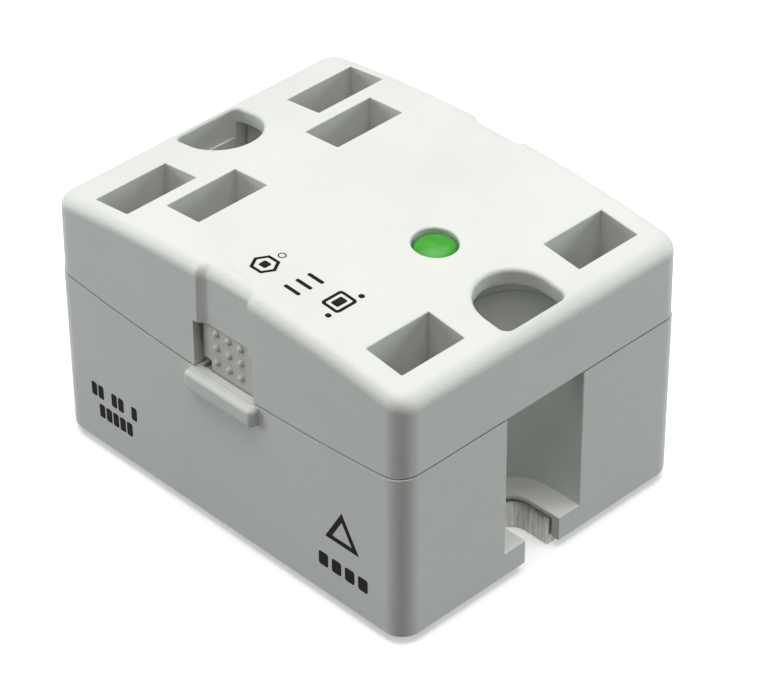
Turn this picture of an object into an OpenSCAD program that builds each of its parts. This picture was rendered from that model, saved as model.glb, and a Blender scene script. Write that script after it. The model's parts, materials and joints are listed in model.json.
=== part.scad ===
// Panel-mount solid-state relay with tab terminals under a clip-on cover.
// Origin: middle of the base plate's underside. +X points to the control end, +Z up.

/* [Overall size] */
// Length of the plastic case, along X
case_l = 57.2; // [56:0.1:70]
// Width of the plastic case, along Y
case_w = 44.7; // [43:0.1:56]
// Height from the base plate's underside to the crown of the cover
case_h = 36.0; // [34:0.1:44]
// How far the cover's crown stands above its ends
crown_rise = 2.3; // [1:0.1:4]
// Radius of the case's upright corners
corner_r = 2.6; // [2:0.1:4]

/* [Housing] */
// Height of the joint between housing and cover, at the ends
parting_h = 23.7; // [22:0.1:25]
// How far that joint dips at mid length
parting_dip = 1.75; // [1:0.05:2.5]
// Thickness of the housing's side walls
case_wall = 1.8; // [1.6:0.1:2.2]
// Thickness of the wall round the base plate
skirt_wall = 1.2; // [0.9:0.05:1.4]
// Thickness of the ledge over the base plate at the screws
foot_t = 0.7; // [0.5:0.1:1.2]
// Height of the lip that the cover slips over
lip_rise = 1.5; // [1:0.1:2]
// Thickness of that lip
lip_t = 1; // [0.8:0.1:1.2]

/* [Base plate] */
// Thickness of the metal base plate
plate_t = 3.8; // [3:0.1:5]
// How far the plate stands below the plastic
plate_drop = 1.2; // [0.5:0.1:1.5]
// Distance from a case end to the screw beside it
mount_inset = 4.8; // [4.6:0.1:5.2]
// Diameter of the screw hole and width of the screw slot
screw_hole = 4.6; // [4.2:0.1:5]

/* [Screw channels] */
// Width of the channel that the screw head goes down
channel_w = 12.2; // [11:0.1:12.4]
// Thickness of the channel's wall
channel_wall = 1.3; // [1:0.1:1.5]
// Width of the driver opening in the cover
driver_w = 9.6; // [8.6:0.1:10.2]
// Distance from the screw to the driver opening's flat side
driver_reach = 3.0; // [2.4:0.1:3]
// Radius of the two corners on that flat side
driver_corner = 1.0; // [0.5:0.1:1.5]

/* [Cover] */
// Thickness of the cover's sides
cover_wall = 2.0; // [1.8:0.1:2.2]
// Thickness of the cover's top
cover_top = 2.0; // [1.6:0.1:2.4]
// Thickness of the walls round the terminal slots
shroud_wall = 1.0; // [0.8:0.1:1]

/* [Terminal slots] */
// Size of every slot along the case
slot_l = 5.45; // [5:0.05:5.6]
// Size of a load slot across the case
load_slot_w = 10.45; // [8:0.05:10.6]
// Size of a control slot across the case
control_slot_w = 9.45; // [8:0.05:10.4]
// Distance along X from the load end's screw to the outer load tab
load_tab_offset = 3.5; // [3:0.1:4.5]
// Distance between the two tabs of a load terminal, along X
load_tab_pitch = 7.5; // [7.4:0.1:8.5]
// How much nearer to the middle the inner load tab stands
load_tab_stagger = 4.1; // [3:0.1:4.3]
// Distance along X from the control end's screw to a control tab
control_tab_offset = 1.8; // [1:0.1:3]
// Distance from the case's side to the outer load tab's middle
load_tab_inset = 7.5; // [7.3:0.1:7.6]
// Distance from the case's side to a control tab's middle
control_tab_inset = 8.6; // [8:0.1:8.7]

/* [Tabs] */
// Thickness of the terminal sheet
tab_t = 0.8; // [0.5:0.1:1]
// Width of a load tab
load_tab_w = 6.35; // [4.8:0.05:6.35]
// Width of a control tab
control_tab_w = 4.75; // [2.8:0.05:6.35]
// How deep the tab tips stand below the cover's crown
tab_depth = 5.5; // [4:0.1:7]

/* [Status light] */
// Diameter of the status light's lens
lens_d = 5; // [3:0.1:5]
// Gap between the channel wall and the status light's middle
lens_inset = 5.15; // [4:0.05:6]

/* [Latches] */
// Where the latches sit along X
latch_x = 0.36; // [-2:0.01:2]
// Width of the press arm
arm_w = 8.5; // [7:0.1:9]
// Thickness of the press arm
arm_t = 1.1; // [0.9:0.05:1.1]
// How far the arm's face lies behind the case's side
arm_depth = 1.0; // [0.9:0.05:1.1]
// Length of the arm above the joint of the case
arm_rise = 6.25; // [5:0.05:7]
// How far the arm reaches below that joint
arm_reach = 2.8; // [2.7:0.05:3.1]
// How far the hook stands out of the arm
hook_out = 0.6; // [0.4:0.05:0.6]
// Height of that hook
hook_h = 1.2; // [0.8:0.1:1.4]
// Depth of the finger groove above the arm
groove_depth = 0.85; // [0.5:0.05:0.9]
// How far the catch stands proud of the housing's side
catch_out = 1.2; // [0.8:0.05:1.4]
// Height of the catch
catch_h = 2.6; // [2.4:0.1:3]

/* [Electronics] */
// Thickness of the ceramic substrate
ceramic_t = 0.8; // [0.6:0.05:1]
// Length of the ceramic substrate
ceramic_l = 26; // [24:0.5:28]
// Width of the ceramic substrate
ceramic_w = 23; // [22:0.5:25]
// Height of the circuit board's underside
board_h = 12; // [11:0.5:13]
// Thickness of the circuit board
board_t = 1.6; // [1:0.1:2]
// Depth of the potting gel over the base plate
gel_depth = 5; // [4:0.1:6]

/* [Fits] */
// Gap all round between base plate and housing
plate_gap = 0.1; // [0.05:0.05:0.2]
// Height of the dark joint line between housing and cover
joint_gap = 0.24; // [0.1:0.02:0.3]
// Gap between the cover and the lip inside it
lip_gap = 0.15; // [0.1:0.05:0.3]
// Gap between the cover's seats and the channel tops
seat_gap = 0.05; // [0.02:0.01:0.1]
// Gap round the status light in the cover
lens_gap = 0.15; // [0.1:0.05:0.3]
// Gap beside, above and below the press arms
arm_gap = 0.15; // [0.1:0.05:0.2]
// Width of the open slits beside the press arms
arm_slit = 0.62; // [0.4:0.02:0.8]

/* [Hidden] */
// Every node's name, in order from the mounting face upwards

// The big arcs need many segments, and small round things few
arc_fn = 1440;
round_fn = 64;
small_fn = 24;
beyond = 40;           // clears the case in any direction
cut = 1;               // how far a cut runs past a face

// Radius of an arc with this chord and rise
function arc_r(chord, rise) = (chord * chord / 4 + rise * rise) / (2 * rise);
crown_r = arc_r(case_l, crown_rise);
parting_r = arc_r(case_l, parting_dip);
parting_mid = parting_h - parting_dip;
// Height of the cover's crown at a place along X
function crown_z(x) = case_h - crown_r + sqrt(crown_r * crown_r - x * x);

mount_x = case_l / 2 - mount_inset;
channel_r = channel_w / 2;
tower_r = channel_r + channel_wall;
tower_top = crown_z(mount_x + channel_r) - cover_top - 0.5;
foot_top = plate_t + foot_t;
screw_r = screw_hole / 2;
foot_notch_r = screw_r + 0.45;

recess_l = case_l - 2 * skirt_wall;
recess_w = case_w - 2 * skirt_wall;
plate_l = recess_l - 2 * plate_gap;
plate_w = recess_w - 2 * plate_gap;

// Tab places, for the front half; the rear half mirrors them
outer_tab = [-mount_x + load_tab_offset, -case_w / 2 + load_tab_inset];
inner_tab = outer_tab + [load_tab_pitch, load_tab_stagger];
control_tab = [mount_x - control_tab_offset, -case_w / 2 + control_tab_inset];
tab_top = case_h - tab_depth;
bus_z = parting_mid - 5;
shroud_bottom = bus_z + tab_t + 2.2;

lens_r = lens_d / 2;
lens_x = mount_x - tower_r - lens_inset;
lens_top = crown_z(lens_x) - 0.05;
lens_dome = 0.8;       // height of the lens's dome
lens_length = 8.6;
flange_r = lens_r + 0.4;
lens_base = lens_top - lens_length;
lead_gap = 2.54;
lead_side = 0.5;

// Latch: the front one, and the rear one is its mirror
arm_face = -case_w / 2 + arm_depth;
arm_back = arm_face + arm_t;
window_top = parting_mid + arm_rise;
arm_top = window_top - arm_gap;
arm_bottom = parting_mid - arm_reach;
arm_pivot = [(arm_face + arm_back) / 2, arm_top - arm_t / 2];    // along Y and Z
window_w = arm_w + 2 * arm_slit;
groove_w = window_w - 1.45;
hook_top = arm_bottom + hook_h;
catch_w = window_w + 1.5;
catch_top = parting_mid - 0.35;
catch_foot = catch_top - catch_h;
catch_slope = 0.3;     // how much higher its underside is at the front
arm_swing = 1.9;       // room behind the arm for its travel

// Heights of the power stack on the base plate
solder_t = 0.15;
copper_t = 0.3;
chip_t = 0.4;
clip_t = 0.5;
ceramic_z = plate_t + solder_t;
copper_z = ceramic_z + ceramic_t;
chip_z = copper_z + copper_t;
clip_z = chip_z + chip_t;
board_top = board_h + board_t;
track_gap = 2;
chip_side = 7.5;
chip_x = 5;
chip_y = ceramic_w / 4 + 0.25;
pin_r = 0.35;
stud_r = 0.7;          // pin under a control tab
pin_places = [-ceramic_l / 2 + 4.4, 0];

// Circuit board: a middle and two wings beside the control end's channel
board_w = case_w - 2 * case_wall - 6;
board_end = mount_x - tower_r - 0.8;
board_start = inner_tab.x + slot_l / 2 + shroud_wall - 0.6;
wing_end = control_tab.x + 3.2;
wing_in = tower_r + 0.8;
rib_w = 2;
rib_lap = 0.9;         // how far a rib reaches under the board
rib_in = 3;            // from a board end to a rib
part_x = (board_start + board_end) / 2;

plastic = [0.88, 0.89, 0.87];
tinned = [0.80, 0.79, 0.75];
copper = [0.78, 0.47, 0.30];
alloy = [0.74, 0.75, 0.76];

// Rounded rectangle, centred
module outline(l, w, r) {
    square([l, w - 2 * r], center = true);
    square([l - 2 * r, w], center = true);
    for (x = [-1, 1], y = [-1, 1])
        translate([x * (l / 2 - r), y * (w / 2 - r)]) circle(r, $fn = round_fn);
}

// Case outline moved inwards by a wall, between two heights
module slab(inset, low, high) {
    translate([0, 0, low]) linear_extrude(high - low)
        outline(case_l - 2 * inset, case_w - 2 * inset, max(corner_r - inset, 0.5));
}

// Box from its two corners
module block(low, high) { translate(low) cube(high - low); }

// Everything under the crown, moved down by a thickness
module under_crown(down) {
    translate([0, 0, case_h - crown_r]) rotate([90, 0, 0])
        cylinder(r = crown_r - down, h = case_w + beyond, center = true, $fn = arc_fn);
}

// Everything above the joint line, raised by a distance
module above_joint(up) {
    translate([0, 0, parting_mid + parting_r]) rotate([90, 0, 0])
        cylinder(r = parting_r - up, h = case_w + beyond, center = true, $fn = arc_fn);
}

// Slot at the +X screw: half round towards the middle, and straight out to its reach
module keyway(r, reach, low, high) {
    translate([mount_x, 0, low]) linear_extrude(high - low) {
        intersection() {
            circle(r, $fn = round_fn);
            translate([-2 * r, -2 * r]) square([2 * r, 4 * r]);
        }
        translate([0, -r]) square([reach, 2 * r]);
    }
}

// Copies its children at both ends, or on both sides
module both_ends() { children(); mirror([1, 0, 0]) children(); }
module both_sides() { children(); mirror([0, 1, 0]) children(); }

module base_plate() {
    color(alloy) difference() {
        linear_extrude(plate_t) outline(plate_l, plate_w, corner_r - skirt_wall);
        translate([-mount_x, 0, -cut]) cylinder(r = screw_r, h = plate_t + 2 * cut, $fn = round_fn);
        keyway(screw_r, mount_inset + cut, -cut, plate_t + cut);
    }
}

// Catch on the housing's front side, which covers the hook's pocket
module catch_body() {
    side = -case_w / 2;
    translate([latch_x - catch_w / 2, 0, 0]) rotate([90, 0, 90]) linear_extrude(catch_w)
        polygon([[side + 0.5, catch_foot], [side, catch_foot], [side - catch_out, catch_foot + catch_slope],
            [side - catch_out, catch_top], [side + 0.5, catch_top]]);
}

// Room for the front arm and its hook inside the housing
module arm_pocket() {
    half = arm_w / 2 + arm_gap;
    block([latch_x - half, arm_face - arm_gap, arm_bottom - arm_gap],
        [latch_x + half, arm_back + arm_swing, parting_h + beyond]);
    block([latch_x - half, arm_face - hook_out - arm_gap, arm_bottom - arm_gap],
        [latch_x + half, arm_face, hook_top + arm_gap]);
}

// Rib on the housing's front wall, which the board's edge rests on
module board_rib(x) {
    block([x - rib_w / 2, -case_w / 2 + case_wall / 2, foot_top],
        [x + rib_w / 2, -board_w / 2 + rib_lap, board_h]);
}

module board_ribs() {
    board_rib(board_start + rib_in);
    board_rib(board_end - rib_in);
}

module housing() {
    lip_out = cover_wall + lip_gap;
    lip_in = lip_out + lip_t;
    lip_low = parting_mid - 2.5;
    color(plastic) difference() {
        union() {
            // walls, open inside
            difference() {
                slab(0, plate_drop, parting_h + cut);
                slab(case_wall, plate_drop - cut, parting_h + 2 * cut);
                above_joint(-joint_gap);
            }
            // lip that the cover slips over, on a thicker stretch of wall
            difference() {
                union() {
                    difference() {
                        slab(case_wall / 2, lip_low, parting_h);
                        above_joint(-joint_gap);
                    }
                    difference() {
                        slab(lip_out, lip_low, parting_h + lip_rise + cut);
                        above_joint(lip_rise);
                    }
                }
                slab(lip_in, lip_low - cut, parting_h + lip_rise + 2 * cut);
            }
            both_sides() catch_body();
            both_sides() board_ribs();
            // screw channels with their floors over the plate
            both_ends() {
                keyway(tower_r, mount_inset - cover_wall - lip_gap, plate_t, tower_top);
                keyway(tower_r, mount_inset - case_wall / 2, plate_t, parting_mid - 2);
            }
        }
        both_ends() {
            keyway(channel_r, mount_inset + cut, foot_top, case_h);
        }
        slab(skirt_wall, plate_drop - cut, plate_t);
        translate([-mount_x, 0, 0]) cylinder(r = foot_notch_r, h = case_h, $fn = round_fn);
        keyway(foot_notch_r, mount_inset + cut, 0, foot_top + cut);
        both_sides() arm_pocket();
    }
}

// Driver opening: half round towards the middle, flat with round corners towards the end
module driver_opening(low, high) {
    straight = driver_reach - driver_corner;
    keyway(driver_w / 2, straight, low, high);
    translate([mount_x + straight, 0, low]) linear_extrude(high - low) {
        square([2 * driver_corner, driver_w - 2 * driver_corner], center = true);
        for (side = [-1, 1])
            translate([0, side * (driver_w / 2 - driver_corner)]) circle(driver_corner, $fn = round_fn);
    }
}

// Places its children at each slot, with the slot's size as [x, y]
module at_slots(grow) {
    both_sides() {
        for (tab = [outer_tab, inner_tab]) translate([tab.x, tab.y, 0])
            square([slot_l + 2 * grow, load_slot_w + 2 * grow], center = true);
        translate([control_tab.x, control_tab.y, 0])
            square([slot_l + 2 * grow, control_slot_w + 2 * grow], center = true);
    }
}

module cover() {
    color(plastic) difference() {
        union() {
            // shell
            difference() {
                intersection() {
                    slab(0, parting_mid - cut, case_h + cut);
                    under_crown(0);
                    above_joint(0);
                }
                intersection() {
                    slab(cover_wall, parting_mid - 2 * cut, case_h);
                    under_crown(cover_top);
                }
            }
            intersection() {
                union() {
                    // walls round the slots, clear of the housing's lip
                    intersection() {
                        translate([0, 0, shroud_bottom]) linear_extrude(case_h) at_slots(shroud_wall);
                        union() {
                            slab(cover_wall + 2 * lip_gap + lip_t, 0, case_h);
                            slab(0, parting_h + lip_rise + lip_gap, case_h + cut);
                        }
                    }
                    // seats on the screw channels, and a collar round the light
                    both_ends() keyway(tower_r, mount_inset - cover_wall / 2, tower_top + seat_gap, case_h);
                    translate([lens_x, 0, lens_top - lens_r - 1.5])
                        cylinder(r = lens_r + lens_gap + 1, h = case_h, $fn = round_fn);
                }
                under_crown(cover_top / 2);
                slab(cover_wall / 2, 0, case_h + cut);
            }
        }
        translate([0, 0, shroud_bottom - cut]) linear_extrude(case_h) at_slots(0);
        both_ends() {
            driver_opening(tower_top - cut, case_h + cut);
            intersection() {
                keyway(channel_r, mount_inset - cover_wall, tower_top - cut, case_h);
                under_crown(cover_top);
            }
        }
        translate([lens_x, 0, 0]) cylinder(r = lens_r + lens_gap, h = case_h + cut, $fn = round_fn);
        // window and finger groove of each latch
        both_sides() {
            block([latch_x - window_w / 2, -case_w / 2 - cut, parting_mid - 2 * cut],
                [latch_x + window_w / 2, -case_w / 2 + cover_wall + cut / 2, window_top]);
            block([latch_x - groove_w / 2, -case_w / 2 - cut, window_top - cut],
                [latch_x + groove_w / 2, -case_w / 2 + groove_depth, case_h + cut]);
        }
    }
}

// Press arm of the front latch, with its hook and grip dots
module latch_arm() {
    dot_pitch = 2;
    dot_r = 0.4;
    dot_sunk = 0.05;
    top_row = window_top - 0.9;
    hook_land = 0.4;
    color(plastic) union() {
        translate([latch_x - arm_w / 2, 0, 0]) rotate([90, 0, 90]) linear_extrude(arm_w)
            polygon([[arm_back, arm_bottom], [arm_back, arm_pivot.y], [arm_face, arm_pivot.y],
                [arm_face, hook_top], [arm_face - hook_out, hook_top],
                [arm_face - hook_out, hook_top - hook_land], [arm_face, arm_bottom]]);
        // round root, on the bending line
        translate([latch_x - arm_w / 2, arm_pivot.x, arm_pivot.y]) rotate([0, 90, 0])
            cylinder(r = arm_t / 2, h = arm_w, $fn = round_fn);
        for (column = [-1:1], row = [0:2])
            translate([latch_x + column * dot_pitch, arm_face + dot_sunk, top_row - row * dot_pitch])
                sphere(dot_r, $fn = small_fn);
    }
}
module front_latch_arm() { latch_arm(); }
module rear_latch_arm() { mirror([0, 1, 0]) latch_arm(); }

// One upright tab whose tip has its corners cut
module tab(place, width, low) {
    tip = 1.2;
    tip_in = 0.7 * tip;
    tip_h = tab_top - low;
    dimple_r = 0.85;
    dimple_down = 3.6;
    translate([place.x - tab_t / 2, place.y, low]) rotate([90, 0, 90]) linear_extrude(tab_t)
        difference() {
            polygon([[-width / 2, 0], [width / 2, 0], [width / 2, tip_h - tip], [width / 2 - tip_in, tip_h],
                [-width / 2 + tip_in, tip_h], [-width / 2, tip_h - tip]]);
            translate([0, tip_h - dimple_down]) circle(dimple_r, $fn = small_fn);
        }
}

// Two load tabs on one bent strip, with a leg down to the copper track
module load_terminal() {
    leg_w = 5;
    foot_end = -ceramic_l / 2 + 3.2;
    leg_side = inner_tab.y + load_tab_w / 2;
    color(tinned) union() {
        tab(outer_tab, load_tab_w, bus_z);
        tab(inner_tab, load_tab_w, bus_z);
        block([outer_tab.x - tab_t / 2, outer_tab.y - load_tab_w / 2, bus_z],
            [inner_tab.x + tab_t / 2, leg_side, bus_z + tab_t]);
        block([inner_tab.x - tab_t / 2, leg_side - leg_w, chip_z],
            [inner_tab.x + tab_t / 2, leg_side, bus_z + tab_t / 2]);
        block([inner_tab.x - tab_t / 2, leg_side - leg_w, chip_z], [foot_end, leg_side, chip_z + tab_t]);
    }
}
module load_terminal_front() { load_terminal(); }
module load_terminal_rear() { mirror([0, 1, 0]) load_terminal(); }

// Control tab on a foot with a pin through the board
module control_terminal() {
    foot = 4.4;
    pin_out = 1.2;
    color(tinned) union() {
        tab(control_tab, control_tab_w, board_top);
        translate([control_tab.x - foot / 2, control_tab.y - foot / 2, board_top]) cube([foot, foot, tab_t]);
        translate([control_tab.x, control_tab.y, board_h - pin_out])
            cylinder(r = stud_r, h = board_t + pin_out + tab_t / 2, $fn = small_fn);
    }
}
module control_terminal_front() { control_terminal(); }
module control_terminal_rear() { mirror([0, 1, 0]) control_terminal(); }

module substrate_solder() {
    edge = 1;
    color("silver") translate([0, 0, plate_t + solder_t / 2])
        cube([ceramic_l - 2 * edge, ceramic_w - 2 * edge, solder_t], center = true);
}

module ceramic_substrate() {
    color("white") translate([0, 0, ceramic_z + ceramic_t / 2])
        cube([ceramic_l, ceramic_w, ceramic_t], center = true);
}

module copper_tracks() {
    edge = 0.6;
    color(copper) {
        both_sides() block([-ceramic_l / 2 + edge, -ceramic_w / 2 + edge, copper_z],
            [ceramic_l / 2 - edge, -track_gap / 2, chip_z]);
        for (x = pin_places) translate([x, 0, copper_z]) cylinder(r = 0.75, h = copper_t, $fn = small_fn);
    }
}

// The two chips point opposite ways, so that both half waves pass
module thyristor(side) {
    color("dimgray") translate([side * chip_x, -side * chip_y, chip_z + chip_t / 2])
        cube([chip_side, chip_side, chip_t], center = true);
}
module thyristor_front() { thyristor(1); }
module thyristor_rear() { thyristor(-1); }

// Copper clips from each chip's top to the other track
module thyristor_clips() {
    clip_w = 4;
    arch = 1.1;
    landing = track_gap / 2 + 2.4;
    rise = clip_z + arch;
    color(copper) for (side = [-1, 1])
        rotate([0, 0, side > 0 ? 0 : 180]) translate([chip_x - clip_w / 2, 0, 0])
            rotate([90, 0, 90]) linear_extrude(clip_w)
                polygon([[-chip_y - 2.4, clip_z], [-chip_y + 1.4, clip_z], [-chip_y + 1.4, rise - clip_t],
                    [landing - 2, rise - clip_t], [landing - 2, chip_z], [landing, chip_z],
                    [landing, chip_z + clip_t], [landing - 2 + clip_t, chip_z + clip_t],
                    [landing - 2 + clip_t, rise], [-chip_y + 1.4 - clip_t, rise],
                    [-chip_y + 1.4 - clip_t, clip_z + clip_t], [-chip_y - 2.4, clip_z + clip_t]]);
}

module gate_pins() {
    color(tinned) for (x = pin_places)
        translate([x, 0, chip_z]) cylinder(r = pin_r, h = board_top + 1 - chip_z, $fn = small_fn);
}

module potting_gel() {
    wall = case_wall + plate_gap;
    color([0.75, 0.8, 0.85, 0.5]) difference() {
        slab(wall, plate_t, plate_t + gel_depth);
        both_ends() keyway(tower_r + plate_gap, mount_inset + cut, plate_t - cut, case_h);
        both_sides() {
            board_ribs();
            load_terminal();
        }
        block([-ceramic_l / 2, -ceramic_w / 2, 0], [ceramic_l / 2, ceramic_w / 2, chip_z]);
        thyristor_front();
        thyristor_rear();
        thyristor_clips();
        gate_pins();
    }
}

module circuit_board() {
    hole_gap = 0.1;
    color([0.10, 0.35, 0.20]) difference() {
        translate([0, 0, board_h]) linear_extrude(board_t) {
            difference() {
                translate([board_start, -board_w / 2]) square([wing_end - board_start, board_w]);
                translate([board_end, -wing_in]) square([wing_end - board_end + cut, 2 * wing_in]);
            }
        }
        for (x = pin_places) translate([x, 0, 0]) cylinder(r = pin_r + hole_gap, h = case_h, $fn = small_fn);
        both_sides() translate([control_tab.x, control_tab.y, 0])
            cylinder(r = stud_r + hole_gap, h = board_top + cut, $fn = small_fn);
    }
}

module optocoupler() {
    size = [7.3, 6.4, 3.4];
    leg = [0.5, 0.7, 2.2];
    leg_pitch = 2.54;
    stand_off = 0.5;
    translate([part_x + 5, -9, board_top]) {
        color("white") translate([0, 0, stand_off + size.z / 2]) cube(size, center = true);
        color(tinned) for (x = [-1:1], y = [-1, 1])
            translate([x * leg_pitch, y * (size.y + leg.y) / 2, leg.z / 2]) cube(leg, center = true);
    }
}

// Resistor with bent leads, lying along X
module axial_resistor(place, length, r, shade) {
    lead_t = 0.6;
    lead_out = 1.4;
    middle = r + 0.3;
    translate([place.x, place.y, board_top]) {
        color(shade) translate([0, 0, middle]) rotate([0, 90, 0])
            cylinder(r = r, h = length, center = true, $fn = small_fn);
        color(tinned) for (side = [-1, 1]) {
            translate([side * (length + lead_out) / 2, 0, middle])
                cube([lead_out, lead_t, lead_t], center = true);
            translate([side * (length / 2 + lead_out), 0, (middle + lead_t / 2) / 2])
                cube([lead_t, lead_t, middle + lead_t / 2], center = true);
        }
    }
}
module input_resistor() { axial_resistor([part_x + 4.5, -board_w / 2 + 2.2], 7, 1.3, "skyblue"); }
module gate_resistors() {
    for (row = [0, 1]) axial_resistor([board_end - 5.2, 7 + row * 3], 4, 0.9, "tan");
}

module snubber_capacitor() {
    size = [11, 5.5, 10.5];
    translate([part_x - 3.5, board_w / 2 - size.y / 2 - 2, board_top]) {
        color([0.75, 0.25, 0.15]) translate([0, 0, size.z / 2]) cube(size, center = true);
    }
}

module varistor() {
    r = 4.6;
    disc_t = 3.4;
    lead = [0.7, 0.7, 2.4];
    translate([board_start + 7.5, -7.5, board_top]) {
        color([0.15, 0.35, 0.65]) translate([0, 0, r + 1]) rotate([90, 0, 0])
            cylinder(r = r, h = disc_t, center = true, $fn = round_fn);
        color(tinned) for (x = [-2.5, 2.5]) translate([x, 0, lead.z / 2]) cube(lead, center = true);
    }
}

module driver_transistor() {
    r = 2.3;
    body_h = 4.6;
    flat_in = 0.8;
    lead = [0.45, 0.45, 2.4];
    translate([part_x + 0.8, 2.2, board_top]) {
        color("black") translate([0, 0, lead.z - 0.6]) difference() {
            cylinder(r = r, h = body_h, $fn = round_fn);
            translate([-beyond / 2, -r - beyond + flat_in, -cut]) cube([beyond, beyond, body_h + 2 * cut]);
        }
        color(tinned) for (x = [-1:1]) translate([x * 1.27, 0, lead.z / 2]) cube(lead, center = true);
    }
}

// Collars of solder round the pins that pass the board
module solder_joints() {
    color("silver") {
        for (x = pin_places) translate([x, 0, board_top]) difference() {
            cylinder(r = 0.95, h = 0.4, $fn = small_fn);
            translate([0, 0, -cut]) cylinder(r = pin_r, h = 3 * cut, $fn = small_fn);
        }
        both_sides() translate([control_tab.x, control_tab.y, board_h - 0.6]) difference() {
            cylinder(r = 1.6, h = 0.6, $fn = small_fn);
            translate([0, 0, -cut]) cylinder(r = stud_r, h = 3 * cut, $fn = small_fn);
        }
    }
}

module led_spacer() {
    color("ivory") translate([lens_x, 0, board_top]) difference() {
        cylinder(r = lens_r, h = lens_base - board_top, $fn = round_fn);
        for (side = [-1, 1]) translate([0, side * lead_gap / 2, beyond / 2 - cut])
            cube([lead_side + 0.2, lead_side + 0.2, beyond], center = true);
    }
}

module led_leads() {
    length = lens_base - board_top;
    color(tinned) for (side = [-1, 1])
        translate([lens_x, side * lead_gap / 2, board_top + length / 2])
            cube([lead_side, lead_side, length], center = true);
}

module status_led() {
    dome_r = arc_r(lens_d, lens_dome);
    color([0.15, 0.65, 0.25]) translate([lens_x, 0, lens_base]) {
        cylinder(r = flange_r, h = 1, $fn = round_fn);
        intersection() {
            cylinder(r = lens_r, h = lens_length, $fn = round_fn);
            translate([0, 0, lens_length - dome_r]) sphere(dome_r, $fn = 2 * round_fn);
        }
    }
}

base_plate();
housing();
cover();
front_latch_arm();
rear_latch_arm();
load_terminal_front();
load_terminal_rear();
control_terminal_front();
control_terminal_rear();
substrate_solder();
ceramic_substrate();
copper_tracks();
thyristor_front();
thyristor_rear();
thyristor_clips();
gate_pins();
potting_gel();
circuit_board();
optocoupler();
input_resistor();
gate_resistors();
snubber_capacitor();
varistor();
driver_transistor();
solder_joints();
led_spacer();
led_leads();
status_led();
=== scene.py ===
import bmesh
import bpy
import json
from contextlib import contextmanager
from math import atan2, cos, pi, radians, sin, sqrt
from mathutils import Matrix, Vector


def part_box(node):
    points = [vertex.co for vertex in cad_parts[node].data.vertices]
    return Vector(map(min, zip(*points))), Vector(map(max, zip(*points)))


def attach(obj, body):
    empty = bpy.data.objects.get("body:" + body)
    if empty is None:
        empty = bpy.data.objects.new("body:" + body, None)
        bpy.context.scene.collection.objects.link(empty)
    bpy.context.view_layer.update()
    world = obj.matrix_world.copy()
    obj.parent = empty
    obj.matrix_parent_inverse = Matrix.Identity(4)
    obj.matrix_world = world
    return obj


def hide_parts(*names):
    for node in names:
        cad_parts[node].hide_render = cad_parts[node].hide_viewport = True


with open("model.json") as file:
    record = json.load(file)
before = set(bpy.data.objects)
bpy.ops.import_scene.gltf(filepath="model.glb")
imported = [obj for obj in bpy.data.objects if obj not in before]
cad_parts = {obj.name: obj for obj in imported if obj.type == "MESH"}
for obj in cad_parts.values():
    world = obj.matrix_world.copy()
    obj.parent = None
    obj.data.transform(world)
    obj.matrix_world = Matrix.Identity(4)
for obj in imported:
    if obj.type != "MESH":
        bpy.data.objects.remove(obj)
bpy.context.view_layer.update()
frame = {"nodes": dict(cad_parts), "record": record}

mm = 0.001
bodyOf = {node: body for body, nodes in frame["record"]["behaviour"]["bodies"].items() for node in nodes}
slotOf = {row["node"]: row["material_slot"] for row in frame["record"]["subparts"]}

# ---- camera, floor and light

cameraSettings = {
    "target": (4.30 * mm, -1.94 * mm, 18.0 * mm),
    "distance": 387.4 * mm,
    "azimuth": 45.914,
    "elevation": 36.782,
    "roll": -0.437,
    "lens": 160.24,
}


def makeCamera(s):
    az, el = radians(s["azimuth"]), radians(s["elevation"])
    back = Vector((sin(az) * cos(el), -cos(az) * cos(el), sin(el)))
    camera = bpy.data.objects.new("camera", bpy.data.cameras.new("camera"))
    bpy.context.scene.collection.objects.link(camera)
    camera.data.lens = s["lens"]
    camera.data.clip_start = 0.01
    camera.location = Vector(s["target"]) + back * s["distance"]
    look = (-back).to_track_quat("-Z", "Y").to_matrix().to_4x4()
    camera.rotation_euler = (look @ Matrix.Rotation(radians(s["roll"]), 4, "Z")).to_euler()
    bpy.context.scene.camera = camera


lightSettings = {
    # name: (place, aim, size, power, colour), in metres and watts
    "overhead": ((-0.04, 0.02, 1.0), (0, 0, 0.02), 1.15, 15.5, (1.0, 0.985, 0.965)),
    "leftFill": ((-0.80, -0.62, 0.22), (0, 0, 0.018), 0.45, 3.9, (0.93, 1.0, 0.985)),
    "rightFill": ((0.62, 0.80, 0.22), (0, 0, 0.018), 0.45, 4.3, (0.90, 1.0, 0.99)),
}


def makeLights(settings):
    for name, (place, aim, size, power, colour) in settings.items():
        light = bpy.data.lights.new(name, "AREA")
        light.size = size
        light.energy = power
        light.color = colour
        holder = bpy.data.objects.new(name, light)
        bpy.context.scene.collection.objects.link(holder)
        holder.location = place
        holder.rotation_euler = (Vector(aim) - Vector(place)).to_track_quat("-Z", "Y").to_euler()


worldSettings = {"strength": 0.09, "colour": (0.95, 1.0, 0.98)}


def makeWorld(s):
    # dim light all round, with a white backdrop that only the camera meets
    world = bpy.data.worlds.new("studio")
    world.use_nodes = True
    nodes, link = world.node_tree.nodes, world.node_tree.links.new
    dim, white = nodes["Background"], nodes.new("ShaderNodeBackground")
    dim.inputs["Color"].default_value = (*s["colour"], 1)
    dim.inputs["Strength"].default_value = s["strength"]
    white.inputs["Color"].default_value = (1, 1, 1, 1)
    ray, mix = nodes.new("ShaderNodeLightPath"), nodes.new("ShaderNodeMixShader")
    link(ray.outputs["Is Camera Ray"], mix.inputs["Fac"])
    link(dim.outputs[0], mix.inputs[1])
    link(white.outputs[0], mix.inputs[2])
    link(mix.outputs[0], nodes["World Output"].inputs["Surface"])
    bpy.context.scene.world = world


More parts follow.
